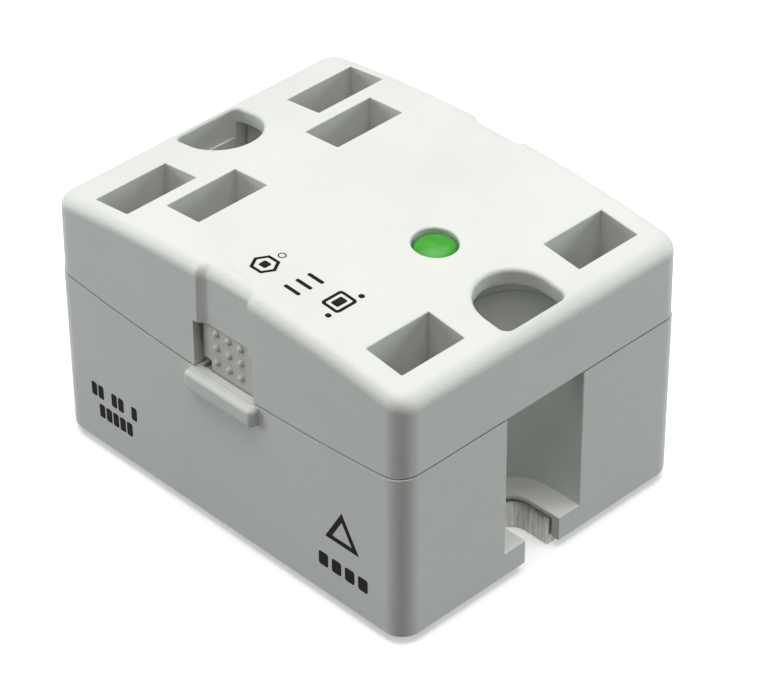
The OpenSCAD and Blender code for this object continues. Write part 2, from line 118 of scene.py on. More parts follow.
makeCamera(cameraSettings)
makeLights(lightSettings)
makeWorld(worldSettings)
bpy.context.scene.view_settings.view_transform = "Standard"
print("camera and light made")

# ---- node helpers


def addNode(tree, kind, **values):
    made = tree.nodes.new(kind)
    for key, value in values.items():
        if key in made.inputs:
            made.inputs[key].default_value = value
        else:
            setattr(made, key, value)
    return made


def newGroup(name, inputs, outputs):
    group = bpy.data.node_groups.new(name, "ShaderNodeTree")
    kinds = {"float": "NodeSocketFloat", "vector": "NodeSocketVector", "colour": "NodeSocketColor"}
    for label, kind, value in inputs:
        socket = group.interface.new_socket(name=label, in_out="INPUT", socket_type=kinds[kind])
        if value is not None:
            socket.default_value = value
    for label, kind in outputs:
        group.interface.new_socket(name=label, in_out="OUTPUT", socket_type=kinds[kind])
    return group, group.nodes.new("NodeGroupInput"), group.nodes.new("NodeGroupOutput")


def makeGrainGroup():
    # fine spark-eroded grain with a slow change of tone and gloss
    group, given, result = newGroup(
        "mouldedGrain",
        [("Vector", "vector", None), ("Grain Size", "float", 0.0003), ("Cloud Size", "float", 0.02)],
        [("Height", "float"), ("Tone", "float"), ("Gloss", "float")],
    )
    link = group.links.new
    invert = addNode(group, "ShaderNodeMath", operation="DIVIDE")
    invert.inputs[0].default_value = 1.0
    link(given.outputs["Grain Size"], invert.inputs[1])
    fine = addNode(group, "ShaderNodeTexNoise", Detail=3.0, Roughness=0.6)
    link(given.outputs["Vector"], fine.inputs["Vector"])
    link(invert.outputs[0], fine.inputs["Scale"])
    cells = addNode(group, "ShaderNodeTexVoronoi", feature="SMOOTH_F1", Smoothness=0.6)
    link(given.outputs["Vector"], cells.inputs["Vector"])
    link(invert.outputs[0], cells.inputs["Scale"])
    both = addNode(group, "ShaderNodeMath", operation="MULTIPLY_ADD")
    both.inputs[1].default_value = 0.6
    link(cells.outputs["Distance"], both.inputs[0])
    link(fine.outputs["Fac"], both.inputs[2])
    link(both.outputs[0], result.inputs["Height"])
    invertCloud = addNode(group, "ShaderNodeMath", operation="DIVIDE")
    invertCloud.inputs[0].default_value = 1.0
    link(given.outputs["Cloud Size"], invertCloud.inputs[1])
    cloud = addNode(group, "ShaderNodeTexNoise", Detail=4.0, Roughness=0.55)
    link(given.outputs["Vector"], cloud.inputs["Vector"])
    link(invertCloud.outputs[0], cloud.inputs["Scale"])
    mixTone = addNode(group, "ShaderNodeMath", operation="MULTIPLY_ADD")
    mixTone.inputs[1].default_value = 0.25
    link(fine.outputs["Fac"], mixTone.inputs[0])
    link(cloud.outputs["Fac"], mixTone.inputs[2])
    link(mixTone.outputs[0], result.inputs["Tone"])
    gloss = addNode(group, "ShaderNodeMapRange")
    gloss.inputs["To Min"].default_value = -0.05
    gloss.inputs["To Max"].default_value = 0.06
    link(cloud.outputs["Fac"], gloss.inputs["Value"])
    link(gloss.outputs["Result"], result.inputs["Gloss"])
    return group


def makeStreakGroup():
    # rolled or brushed metal: long thin streaks along one axis, and a few dull patches
    group, given, result = newGroup(
        "rolledStreaks",
        [("Vector", "vector", None), ("Stretch", "vector", (1.0, 12.0, 1.0)), ("Scale", "float", 900.0)],
        [("Height", "float"), ("Tone", "float"), ("Patch", "float")],
    )
    link = group.links.new
    stretched = addNode(group, "ShaderNodeVectorMath", operation="MULTIPLY")
    link(given.outputs["Vector"], stretched.inputs[0])
    link(given.outputs["Stretch"], stretched.inputs[1])
    streak = addNode(group, "ShaderNodeTexNoise", Detail=4.0, Roughness=0.7)
    link(stretched.outputs[0], streak.inputs["Vector"])
    link(given.outputs["Scale"], streak.inputs["Scale"])
    patch = addNode(group, "ShaderNodeTexNoise", Scale=260.0, Detail=3.0)
    link(given.outputs["Vector"], patch.inputs["Vector"])
    tone = addNode(group, "ShaderNodeMath", operation="MULTIPLY_ADD")
    tone.inputs[1].default_value = 0.5
    link(patch.outputs["Fac"], tone.inputs[0])
    link(streak.outputs["Fac"], tone.inputs[2])
    link(streak.outputs["Fac"], result.inputs["Height"])
    link(tone.outputs[0], result.inputs["Tone"])
    link(patch.outputs["Fac"], result.inputs["Patch"])
    return group


grainGroup = makeGrainGroup()
streakGroup = makeStreakGroup()


def startMaterial(name, **values):
    material = bpy.data.materials.new(name)
    material.use_nodes = True
    tree = material.node_tree
    shader = tree.nodes["Principled BSDF"]
    for key, value in values.items():
        shader.inputs[key.replace("_", " ")].default_value = value
    place = tree.nodes.new("ShaderNodeTexCoord")
    return material, tree, shader, place.outputs["Object"]


def noiseAt(tree, place, scale, detail=2.0):
    noise = addNode(tree, "ShaderNodeTexNoise", Scale=scale, Detail=detail)
    tree.links.new(place, noise.inputs["Vector"])
    return noise


def baseColour(tree, shader, factor, low, high, lowAt=0.35, highAt=0.65):
    ramp = tree.nodes.new("ShaderNodeValToRGB")
    ramp.color_ramp.elements[0].position = lowAt
    ramp.color_ramp.elements[1].position = highAt
    ramp.color_ramp.elements[0].color = (*low, 1)
    ramp.color_ramp.elements[1].color = (*high, 1)
    tree.links.new(factor, ramp.inputs["Fac"])
    tree.links.new(ramp.outputs["Color"], shader.inputs["Base Color"])


def addBump(tree, shader, height, depth, strength=1.0):
    bump = addNode(tree, "ShaderNodeBump", Strength=strength, Distance=depth)
    tree.links.new(height, bump.inputs["Height"])
    tree.links.new(bump.outputs["Normal"], shader.inputs["Normal"])


def shifted(tree, value, amount):
    plus = addNode(tree, "ShaderNodeMath", operation="ADD")
    plus.inputs[1].default_value = amount
    tree.links.new(value, plus.inputs[0])
    return plus.outputs[0]


def glossBetween(tree, shader, value, low, high):
    gloss = addNode(tree, "ShaderNodeMapRange")
    gloss.inputs["To Min"].default_value = low
    gloss.inputs["To Max"].default_value = high
    tree.links.new(value, gloss.inputs["Value"])
    tree.links.new(gloss.outputs["Result"], shader.inputs["Roughness"])


def grainedColour(tree, shader, colour, grain, amount):
    # the colour, darkened by the grain
    mix = addNode(tree, "ShaderNodeMix", data_type="RGBA", blend_type="MULTIPLY")
    mix.inputs["Factor"].default_value = amount
    tree.links.new(colour, mix.inputs["A"])
    tree.links.new(grain, mix.inputs["B"])
    tree.links.new(mix.outputs["Result"], shader.inputs["Base Color"])


def plastic(name, low, high, rough, grain=0.00028, depth=0.00002, cloud=0.02, ior=1.52):
    material, tree, shader, place = startMaterial(name)
    shader.inputs["IOR"].default_value = ior
    group = addNode(tree, "ShaderNodeGroup", node_tree=grainGroup)
    group.inputs["Grain Size"].default_value = grain
    group.inputs["Cloud Size"].default_value = cloud
    tree.links.new(place, group.inputs["Vector"])
    baseColour(tree, shader, group.outputs["Tone"], low, high, 0.4, 0.85)
    tree.links.new(shifted(tree, group.outputs["Gloss"], rough), shader.inputs["Roughness"])
    addBump(tree, shader, group.outputs["Height"], depth)
    return material


def metal(name, low, high, rough, stretch=(1, 12, 1), scale=900.0, depth=0.000006):
    material, tree, shader, place = startMaterial(name, Metallic=1.0)
    group = addNode(tree, "ShaderNodeGroup", node_tree=streakGroup)
    group.inputs["Stretch"].default_value = stretch
    group.inputs["Scale"].default_value = scale
    tree.links.new(place, group.inputs["Vector"])
    baseColour(tree, shader, group.outputs["Tone"], low, high, 0.45, 1.0)
    glossBetween(tree, shader, group.outputs["Tone"], rough - 0.08, rough + 0.12)
    addBump(tree, shader, group.outputs["Height"], depth)
    return material


casePlastic = plastic("casePlastic", (0.63, 0.645, 0.62), (0.70, 0.71, 0.69), 0.50)
# a darker, warmer copy of the case plastic: painted shade for the arm, which sits deep inside its window
armShadedPlastic = plastic("armShadedPlastic", (0.53, 0.52, 0.48), (0.60, 0.59, 0.55), 0.42)
plateMetal = metal("plateMetal", (0.15, 0.145, 0.13), (0.66, 0.65, 0.62), 0.34, (10, 10, 0.7), 190.0, 0.00001)
tinnedMetal = metal("tinnedMetal", (0.58, 0.56, 0.52), (0.80, 0.79, 0.75), 0.28)
copperMetal = metal("copperMetal", (0.52, 0.22, 0.11), (0.83, 0.47, 0.30), 0.32, (1, 6, 1), 600.0)
solderMetal = metal("solderMetal", (0.55, 0.55, 0.56), (0.80, 0.80, 0.81), 0.24, (1, 1, 1), 900.0, 0.00002)
ceramicWhite = plastic("ceramicWhite", (0.74, 0.74, 0.71), (0.86, 0.86, 0.84), 0.55, 0.00012, 0.000008, 0.004)
siliconDark = plastic("siliconDark", (0.05, 0.055, 0.075), (0.10, 0.105, 0.13), 0.15, 0.0004, 0.000001, 0.003)
packageBlack = plastic(
    "packageBlack", (0.018, 0.018, 0.018), (0.035, 0.035, 0.036), 0.55, 0.0002, 0.00001, 0.004)
packageWhite = plastic("packageWhite", (0.68, 0.67, 0.63), (0.78, 0.77, 0.74), 0.5, 0.0002, 0.00001, 0.004)
dippedBlue = plastic("dippedBlue", (0.04, 0.13, 0.34), (0.07, 0.20, 0.47), 0.25, 0.0009, 0.00004, 0.004)
dippedRed = plastic("dippedRed", (0.36, 0.05, 0.025), (0.50, 0.09, 0.045), 0.25, 0.0012, 0.00005, 0.005)
lacquerTan = plastic("lacquerTan", (0.46, 0.34, 0.19), (0.60, 0.46, 0.28), 0.3, 0.0006, 0.00002, 0.003)
spacerNylon = plastic("spacerNylon", (0.62, 0.59, 0.50), (0.72, 0.69, 0.60), 0.42, 0.0005, 0.00001, 0.006)
printInk = plastic(
    "printInk", (0.006, 0.006, 0.006), (0.016, 0.016, 0.016), 0.7, 0.00015, 0.000006, 0.002, 1.2)


def makeGel():
    material, tree, shader, place = startMaterial(
        "clearGel", Roughness=0.08, IOR=1.41, Transmission_Weight=0.92)
    wave = noiseAt(tree, place, 160.0)
    baseColour(tree, shader, wave.outputs["Fac"], (0.80, 0.84, 0.84), (0.90, 0.93, 0.93))
    addBump(tree, shader, wave.outputs["Fac"], 0.0003)
    return material


def makeBoardMask():
    # solder mask with darker and lighter tracks under it
    material, tree, shader, place = startMaterial("boardMask", Coat_Roughness=0.12)
    shader.inputs["Coat Weight"].default_value = 0.4
    tracks = addNode(tree, "ShaderNodeTexBrick", Scale=330.0)
    tracks.inputs["Mortar Size"].default_value = 0.10
    tracks.inputs["Mortar Smooth"].default_value = 0.2
    tracks.inputs["Color1"].default_value = (0.010, 0.085, 0.035, 1)
    tracks.inputs["Color2"].default_value = (0.014, 0.110, 0.045, 1)
    tracks.inputs["Mortar"].default_value = (0.030, 0.190, 0.080, 1)
    tree.links.new(place, tracks.inputs["Vector"])
    grain = noiseAt(tree, place, 1500.0)
    grainedColour(tree, shader, tracks.outputs["Color"], grain.outputs["Color"], 0.35)
    glossBetween(tree, shader, grain.outputs["Fac"], 0.25, 0.45)
    addBump(tree, shader, tracks.outputs["Fac"], 0.00003)
    return material


def makeLens():
    material, tree, shader, place = startMaterial("lensGreen", IOR=1.5)
    shader.inputs["Coat Weight"].default_value = 0.1
    shader.inputs["Coat Roughness"].default_value = 0.08
    haze = noiseAt(tree, place, 700.0, 3.0)
    baseColour(tree, shader, haze.outputs["Fac"], (0.030, 0.30, 0.018), (0.050, 0.36, 0.028))
    glossBetween(tree, shader, haze.outputs["Fac"], 0.42, 0.55)
    addBump(tree, shader, haze.outputs["Fac"], 0.000004)
    return material


clearGel = makeGel()
boardMask = makeBoardMask()
lensGreen = makeLens()
finishOf = {
    "case_plastic": casePlastic, "plate_metal": plateMetal, "tinned_metal": tinnedMetal,
    "copper": copperMetal, "solder": solderMetal, "ceramic": ceramicWhite, "silicon": siliconDark,
    "gel": clearGel, "board": boardMask, "part_white": packageWhite, "part_black": packageBlack,
    "part_blue": dippedBlue, "part_red": dippedRed, "part_tan": lacquerTan, "spacer": spacerNylon,
    "lens": lensGreen,
}
print("materials made")

# ---- floor

floorSettings = {"half": 4.0, "low": (0.86, 0.86, 0.86), "high": (0.88, 0.88, 0.88), "glow": 0.36}


def makeFloor(s):
    material, tree, shader, place = startMaterial("paleFloor", Roughness=0.75)
    speck = noiseAt(tree, place, 40.0, 3.0)
    baseColour(tree, shader, speck.outputs["Fac"], s["low"], s["high"])
    shader.inputs["Emission Color"].default_value = (1, 1, 1, 1)
    shader.inputs["Emission Strength"].default_value = s["glow"]
    half = s["half"]
    corners = [(-half, -half, 0), (half, -half, 0), (half, half, 0), (-half, half, 0)]
    mesh = bpy.data.meshes.new("floor")
    mesh.from_pydata(corners, [], [(0, 1, 2, 3)])
    mesh.materials.append(material)
    floor = bpy.data.objects.new("floor", mesh)
    bpy.context.scene.collection.objects.link(floor)
    floor.visible_diffuse = False  # keeps the sides from washing out


makeFloor(floorSettings)

# ---- mesh helpers


def newObject(name, mesh, material=None):
    made = bpy.data.objects.new(name, mesh)
    bpy.context.scene.collection.objects.link(made)
    if material is not None:
        mesh.materials.clear()
        mesh.materials.append(material)
    return made


def meshOf(name, points, faces, material=None):
    mesh = bpy.data.meshes.new(name)
    mesh.from_pydata([tuple(p) for p in points], [], faces)
    mesh.update()
    return newObject(name, mesh, material)


@contextmanager
def opened(mesh):
    # the mesh as a bmesh, written back at the end
    work = bmesh.new()
    work.from_mesh(mesh)
    yield work
    work.to_mesh(mesh)
    work.free()


joinSettings = {"gap": 0.02 * mm, "flat": radians(0.02)}


def joinFaces(mesh, s=joinSettings):
    # joins points closer than the gap, and faces that lie flat to each other
    with opened(mesh) as work:
        bmesh.ops.remove_doubles(work, verts=work.verts, dist=s["gap"])
        bmesh.ops.dissolve_degenerate(work, edges=work.edges, dist=s["gap"])
        bmesh.ops.dissolve_limit(work, angle_limit=s["flat"], verts=work.verts, edges=work.edges)


def mergedCopy(node):
    # a copy of a CAD node with its loose triangles joined into whole faces
    mesh = frame["nodes"][node].data.copy()
    mesh.name = node + "Mesh"
    joinFaces(mesh)
    return newObject(node + "Shape", mesh, finishOf[slotOf[node]])


def applyModifiers(thing):
    bpy.context.view_layer.update()
    evaluated = thing.evaluated_get(bpy.context.evaluated_depsgraph_get())
    mesh = bpy.data.meshes.new_from_object(evaluated)
    thing.modifiers.clear()
    thing.data = mesh
    return thing


def soften(thing, width, segments=2, angle=35, leaveOut=lambda point: False):
    # rounds the sharp edges, apart from those with an end where leaveOut says so
    with opened(thing.data) as work:
        weight = work.edges.layers.float.new("bevel_weight_edge")
        for edge in work.edges:
            sharp = edge.is_manifold and edge.calc_face_angle() > radians(angle)
            edge[weight] = 1.0 if sharp and not any(leaveOut(v.co) for v in edge.verts) else 0.0
    bevel = thing.modifiers.new("soften", "BEVEL")
    bevel.width = width
    bevel.segments = segments
    bevel.limit_method = "WEIGHT"
    bevel.use_clamp_overlap = False
    bevel.loop_slide = False
    bevel.miter_outer = "MITER_ARC"
    applyModifiers(thing)
    return shadeByAngle(thing)


def shadeByAngle(thing, angle=40):
    with opened(thing.data) as work:
        for face in work.faces:
            face.smooth = True
        for edge in work.edges:
            edge.smooth = not edge.is_manifold or edge.calc_face_angle(0) < radians(angle)
    weighted = thing.modifiers.new("weighted", "WEIGHTED_NORMAL")
    weighted.keep_sharp = True
    weighted.weight = 100
    return applyModifiers(thing)


def cutWith(thing, tool, operation):
    boolean = thing.modifiers.new("cut", "BOOLEAN")
    boolean.operation = operation
    boolean.solver = "MANIFOLD"
    boolean.object = tool
    applyModifiers(thing)
    joinFaces(thing.data)
    bpy.data.objects.remove(tool)
    return thing


def standIn(piece, *nodes):
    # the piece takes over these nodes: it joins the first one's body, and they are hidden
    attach(piece, bodyOf[nodes[0]])
    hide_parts(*nodes)
    return piece


# ---- lofts, lathes and tubes


def arcPoints(x, y, r, start, end, steps):
    return [(x + r * cos(start + (end - start) * i / steps), y + r * sin(start + (end - start) * i / steps))
            for i in range(steps + 1)]


def roundedRect(x, y, l, w, r, steps=5):
    # corner points of a rounded rectangle, counterclockwise
    points = []
    for k, (sx, sy) in enumerate(((1, 1), (-1, 1), (-1, -1), (1, -1))):
        corner = (x + sx * (l / 2 - r), y + sy * (w / 2 - r))
        points += arcPoints(*corner, r, k * pi / 2, (k + 1) * pi / 2, steps)
    return points


def loft(name, rings, material=None):
    # closed solid through rings of points, each ring with as many points as the last
    count = len(rings[0])
    points = [p for ring in rings for p in ring]
    faces = [tuple(range(count))[::-1], tuple(range((len(rings) - 1) * count, len(rings) * count))]
    for k in range(len(rings) - 1):
        low, high = k * count, (k + 1) * count
        faces += [(low + i, low + (i + 1) % count, high + (i + 1) % count, high + i) for i in range(count)]
    return faceOut(meshOf(name, points, faces, material))


def faceOut(thing):
    with opened(thing.data) as work:
        bmesh.ops.remove_doubles(work, verts=work.verts, dist=0.0005 * mm)
        bmesh.ops.recalc_face_normals(work, faces=work.faces)
    return thing


def prism(name, outline, low, high, material=None):
    return loft(name, [[(x, y, z) for x, y in outline] for z in (low, high)], material)


def alongX(outline, low, high):
    # rings for a profile given in Y and Z, swept along X
    return [[(x, y, z) for y, z in outline] for x in (low, high)]


def lathe(name, profile, place, axis="Z", steps=32, material=None):
    # turns a profile of (radius, height) pairs round an axis through the place
    rings = []
    for r, h in profile:
        ring = []
        for i in range(steps):
            a, b = r * cos(2 * pi * i / steps), r * sin(2 * pi * i / steps)
            offset = {"Z": (a, b, h), "X": (h, a, b), "Y": (b, h, a)}[axis]
            ring.append(tuple(p + o for p, o in zip(place, offset)))
        rings.append(ring)
    return loft(name, rings, material)


def tube(name, points, r, material=None, sides=10):
    # round wire along a line of points
    rings = []
    path = [Vector(p) for p in points]
    for k, p in enumerate(path):
        ahead = (path[min(k + 1, len(path) - 1)] - path[max(k - 1, 0)]).normalized()
        side = ahead.orthogonal() if not rings else (side - ahead * side.dot(ahead))
        side.normalize()
        other = ahead.cross(side)
        rings.append([tuple(p + r * (cos(2 * pi * i / sides) * side + sin(2 * pi * i / sides) * other))
                      for i in range(sides)])
    return loft(name, rings, material)


def bendPath(start, corner, end, r, steps=5):
    # a straight line, a round bend and a straight line
    start, corner, end = Vector(start), Vector(corner), Vector(end)
    a, b = (start - corner).normalized(), (end - corner).normalized()
    middle = corner + (a + b) * r
    turn = [middle - (b * cos(t) + a * sin(t)) * r for t in [pi / 2 * i / steps for i in range(steps + 1)]]
    return [start] + turn + [end]


def roundBox(name, low, high, r, material=None, segments=3):
    outline = [(low[0], low[1]), (high[0], low[1]), (high[0], high[1]), (low[0], high[1])]
    box = prism(name, outline, low[2], high[2], material)
    bevel = box.modifiers.new("round", "BEVEL")
    bevel.width = r
    bevel.segments = segments
    bevel.limit_method = "NONE"
    return shadeByAngle(applyModifiers(box))


def joinAll(name, things):
    # several closed meshes as one piece, each keeping its own material
    work = bmesh.new()
    materials = []
    for thing in things:
        for material in thing.data.materials:
            if material not in materials:
                materials.append(material)
    for thing in things:
        part = thing.data.copy()
        part.polygons.foreach_set("material_index", [
            materials.index(thing.data.materials[face.material_index]) for face in thing.data.polygons])
        work.from_mesh(part)
        bpy.data.objects.remove(thing)
    mesh = bpy.data.meshes.new(name)
    work.to_mesh(mesh)
    work.free()
    for material in materials:
        mesh.materials.append(material)
    return shadeByAngle(newObject(name, mesh))


def middleOf(node):
    low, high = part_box(node)
    return (low + high) / 2


# ---- crown: one bend for the cover, its openings and the marks on it

caseSettings = {
    "crownRise": 2.3 * mm,
    "crownDrop": 0.03 * mm,      # how far the visible crown lies inside the solid
    "edgeRadius": 1.8 * mm,      # round edge between top and sides
    "cornerRadius": 2.75 * mm,
}
coverLow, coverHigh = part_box("cover")
halfLength, halfWidth = (coverHigh.x - coverLow.x) / 2, (coverHigh.y - coverLow.y) / 2
flatTop = coverHigh.z - caseSettings["crownDrop"]
wallTop = flatTop - caseSettings["edgeRadius"]


def newShapeTree(name, **inputs):
    # a geometry node tree with named inputs, listed by kind
    tree = bpy.data.node_groups.new(name, "GeometryNodeTree")
    for kind, labels in {"Geometry": ["Geometry"], **inputs}.items():
        for label in labels:
            tree.interface.new_socket(name=label, in_out="INPUT", socket_type="NodeSocket" + kind)
    tree.interface.new_socket(name="Geometry", in_out="OUTPUT", socket_type="NodeSocketGeometry")
    return tree, tree.nodes.new("NodeGroupInput"), tree.nodes.new("NodeGroupOutput")


def realizeAndDress(tree, geometry, material):
    whole = tree.nodes.new("GeometryNodeRealizeInstances")
    tree.links.new(geometry, whole.inputs[0])
    dress = tree.nodes.new("GeometryNodeSetMaterial")
    tree.links.new(whole.outputs[0], dress.inputs["Geometry"])
    tree.links.new(material, dress.inputs["Material"])
    return dress.outputs[0]


def makeCrownTree():
    # lowers everything above a start height onto an arc along X
    tree, given, result = newShapeTree(
        "crownArc", Float=["Arc Radius", "Start Height", "Full Height"], Material=["Material"])
    link = tree.links.new
    place = tree.nodes.new("GeometryNodeInputPosition")
    axes = tree.nodes.new("ShaderNodeSeparateXYZ")
    link(place.outputs[0], axes.inputs[0])

    def maths(operation, *values):
        made = addNode(tree, "ShaderNodeMath", operation=operation)
        for socket, value in zip(made.inputs, values):
            link(value, socket)
        return made.outputs[0]

    radius, x = given.outputs["Arc Radius"], axes.outputs["X"]
    arc = maths("SQRT", maths("SUBTRACT", maths("MULTIPLY", radius, radius), maths("MULTIPLY", x, x)))
    share = addNode(tree, "ShaderNodeMapRange")
    link(axes.outputs["Z"], share.inputs["Value"])
    link(given.outputs["Start Height"], share.inputs["From Min"])
    link(given.outputs["Full Height"], share.inputs["From Max"])
    offset = tree.nodes.new("ShaderNodeCombineXYZ")
    link(maths("MULTIPLY", maths("SUBTRACT", arc, radius), share.outputs["Result"]), offset.inputs["Z"])
    move = tree.nodes.new("GeometryNodeSetPosition")
    link(given.outputs["Geometry"], move.inputs["Geometry"])
    link(offset.outputs[0], move.inputs["Offset"])
    link(realizeAndDress(tree, move.outputs[0], given.outputs["Material"]), result.inputs["Geometry"])
    return tree


def runTree(thing, tree, values):
    modifier = thing.modifiers.new(tree.name, "NODES")
    modifier.node_group = tree
    for item in tree.interface.items_tree:
        if item.item_type == "SOCKET" and item.in_out == "INPUT" and item.name in values:
            modifier[item.identifier] = values[item.name]
    return applyModifiers(thing)


crownTree = makeCrownTree()


def crown(thing, material):
    rise = caseSettings["crownRise"]
    return runTree(thing, crownTree, {
        "Arc Radius": (halfLength ** 2 + rise ** 2) / (2 * rise),
        "Start Height": coverLow.z, "Full Height": wallTop - 0.01 * mm, "Material": material})


# ---- cover: crowned outer form with softly flared openings, cut to the shell's inside

coverSettings = {
    "inset": 0.02 * mm,          # at the joint line
    "draft": 0.12 * mm,          # further in at the top
    "sideSteps": 60,
    "arcSteps": 10,
    "edgeSteps": 8,
    "slotFlare": 0.22 * mm,      # rounding of the openings' rims
    "driverFlare": 0.55 * mm,
    "lightFlare": 0.3 * mm,
    "flareSteps": 5,
    "openingFit": 0.02 * mm,     # cutters stay this far inside the openings
    "slotLength": 5.45 * mm,
    "slotCorner": 0.12 * mm,
    "loadSlotWidth": 10.45 * mm,
    "controlSlotWidth": 9.45 * mm,
    "driverWidth": 9.6 * mm,
    "driverReach": 3.0 * mm,
    "driverCorner": 1.0 * mm,
    "lightGap": 0.15 * mm,
    "lightSides": 48,
    "grooveLeft": -3.785 * mm,
    "grooveRight": 4.505 * mm,
    "grooveDepth": 0.85 * mm,
    "grooveFoot": 28.2 * mm,
    "roundFit": 0.06 * mm,       # round openings are cut this much wider, for a smooth wall
    "roundDepth": 4.0 * mm,
    "slopeOut": 0.5 * mm,        # how far the groove's left slope starts outside its wall
    "slopeIn": 1.15 * mm,        # and how far inside it ends
    "slopeSteps": 12,
    "grooveRim": 0.22 * mm,
}
screwPlace = halfLength - 4.8 * mm
tabHalf = 3.175 * mm
tabPitch, tabStagger, tabThickness = 7.5 * mm, 4.1 * mm, 0.8 * mm


def halfRing(halfL, halfW, r, s):
    # points along the front half of a rounded rectangle, from -X to +X
    points = arcPoints(-halfL + r, -halfW + r, r, pi, 1.5 * pi, s["arcSteps"])
    points += [(-halfL + r + 2 * (halfL - r) * i / s["sideSteps"], -halfW) for i in range(1, s["sideSteps"])]
    return points + arcPoints(halfL - r, -halfW + r, r, -pi / 2, 0, s["arcSteps"])


def ringBlock(name, rings):
    # solid from stacked half rings, each with its mirror image, capped with strips across
    points, faces = [], []
    count = len(rings[0][0])
    around = 2 * count
    for half, z in rings:
        points += [(x, y, z) for x, y in half] + [(x, -y, z) for x, y in reversed(half)]
    for k in range(len(rings) - 1):
        low, high = k * around, (k + 1) * around
        faces += [(low + i, low + (i + 1) % around, high + (i + 1) % around, high + i) for i in range(around)]
    top = (len(rings) - 1) * around
    for i in range(count - 1):
        faces.append((top + i, top + i + 1, top + around - 2 - i, top + around - 1 - i))
        faces.append((i, around - 1 - i, around - 2 - i, i + 1))
    return meshOf(name, points, faces)


def coverForm(s):
    jointInset, topInset, r = s["inset"], s["inset"] + s["draft"], caseSettings["edgeRadius"]

    def ring(inset):
        corner = caseSettings["cornerRadius"] - inset
        return halfRing(halfLength - inset, halfWidth - inset, corner, s)

    rings = [(ring(jointInset), coverLow.z - 12 * mm), (ring(jointInset), coverLow.z),
             (ring(topInset), wallTop)]
    for k in range(1, s["edgeSteps"] + 1):
        a = pi / 2 * k / s["edgeSteps"]
        rings.append((ring(topInset + r * (1 - cos(a))), wallTop + r * sin(a)))
    return crown(ringBlock("coverForm", rings), casePlastic)


def driverOutline(end, grow, s):
    # half round towards the middle, flat with round corners towards the end
    r, corner = s["driverWidth"] / 2, s["driverCorner"]
    flat = screwPlace + s["driverReach"] - corner
    points = arcPoints(screwPlace, 0, r + grow, pi / 2, 1.5 * pi, 24)
    points += arcPoints(flat, -r + corner, corner + grow, -pi / 2, 0, 6)
    points += arcPoints(flat, r - corner, corner + grow, 0, pi / 2, 6)
    return points if end > 0 else [(-x, y) for x, y in reversed(points)]


def flaredCutter(name, outlineAt, flare, s, fit=None, depth=1.2 * mm):
    # outlineAt(grow) gives the opening's outline, grown by that much
    fit = s["openingFit"] if fit is None else fit
    levels = [(-fit, flatTop - flare - depth)]
    for k in range(s["flareSteps"] + 1):
        a = pi / 2 * k / s["flareSteps"]
        levels.append((flare * (1 - cos(a)) - fit, flatTop - flare + flare * sin(a)))
    levels.append((flare, flatTop + 2 * mm))
    return crown(loft(name, [[(x, y, z) for x, y in outlineAt(grow)] for grow, z in levels]), casePlastic)


def coverCutters(s):
    load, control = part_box("load_terminal_front"), middleOf("control_terminal_front")
    outer = (load[0].x + tabThickness / 2, load[0].y + tabHalf)
    inner = (outer[0] + tabPitch, outer[1] + tabStagger)
    light = middleOf("status_led")
    lightRadius = 2.5 * mm + s["lightGap"]
    slots = [(*outer, s["loadSlotWidth"]), (*inner, s["loadSlotWidth"]),
             (control.x, control.y, s["controlSlotWidth"])]
    for index, (x, y, width) in enumerate(slots):
        for side in (1, -1):
            def slotOutline(grow, x=x, y=side * y, width=width):
                corner = s["slotCorner"] + grow * 0.99  # a little less than a full offset
                return roundedRect(x, y, s["slotLength"] + 2 * grow, width + 2 * grow, corner)
            yield flaredCutter("slotCutter%d" % index, slotOutline, s["slotFlare"], s)
    for end in (1, -1):
        yield flaredCutter("driverCutter", lambda grow, end=end: driverOutline(end, grow, s),
                           s["driverFlare"], s, -s["roundFit"], s["roundDepth"])
    steps = s["lightSides"] - 1
    turn = 2 * pi * steps / s["lightSides"]
    yield flaredCutter("lightCutter", lambda grow: arcPoints(light.x, 0, lightRadius + grow, 0, turn, steps),
                       s["lightFlare"], s, -s["roundFit"], s["roundDepth"])


def grooveSection(inset, s):
    # the groove's air in plan, from its soft left slope to its round right rim
    face, floor = -halfWidth + inset, -halfWidth + inset + s["grooveDepth"] - s["openingFit"]
    start, end, rim = s["grooveLeft"] - s["slopeOut"], s["grooveLeft"] + s["slopeIn"], s["grooveRim"]
    points = [(start, face - 3 * mm), (s["grooveRight"] + rim, face - 3 * mm)]
    points += [(s["grooveRight"] + rim * (1 - sin(a)), face + rim * (1 - cos(a)))
               for a in [pi / 2 * i / 5 for i in range(6)]]
    points.append((s["grooveRight"] - s["openingFit"], floor))
    for i in range(s["slopeSteps"] + 1):
        t = 1 - i / s["slopeSteps"]
        points.append((start + (end - start) * t, face + (floor - face) * t * t * (3 - 2 * t)))
    return points


def grooveCutter(side, s):
    r = caseSettings["edgeRadius"]
    levels = [(0, s["grooveFoot"] - 0.01 * mm), (0, wallTop)]
    levels += [(r * (1 - cos(a)), wallTop + r * sin(a)) for a in [pi / 2 * k / 8 for k in range(1, 9)]]
    levels.append((r, flatTop + 2 * mm))
    rings = [[(x, side * y, z) for x, y in grooveSection(inset, s)] for inset, z in levels]
    return crown(loft("grooveCutter", rings), casePlastic)


def grooveFiller(side, s):
    # solid corner that the groove's slope is cut from
    x, floor, buried = s["grooveLeft"], -halfWidth + s["grooveDepth"], 0.3 * mm
    outline = [(x - buried, side * -halfWidth), (x + s["slopeIn"], side * -halfWidth),
               (x + s["slopeIn"], side * (floor + buried)), (x - buried, side * (floor + buried))]
    return prism("grooveFiller", outline, s["grooveFoot"] + 0.01 * mm, flatTop + 1 * mm)


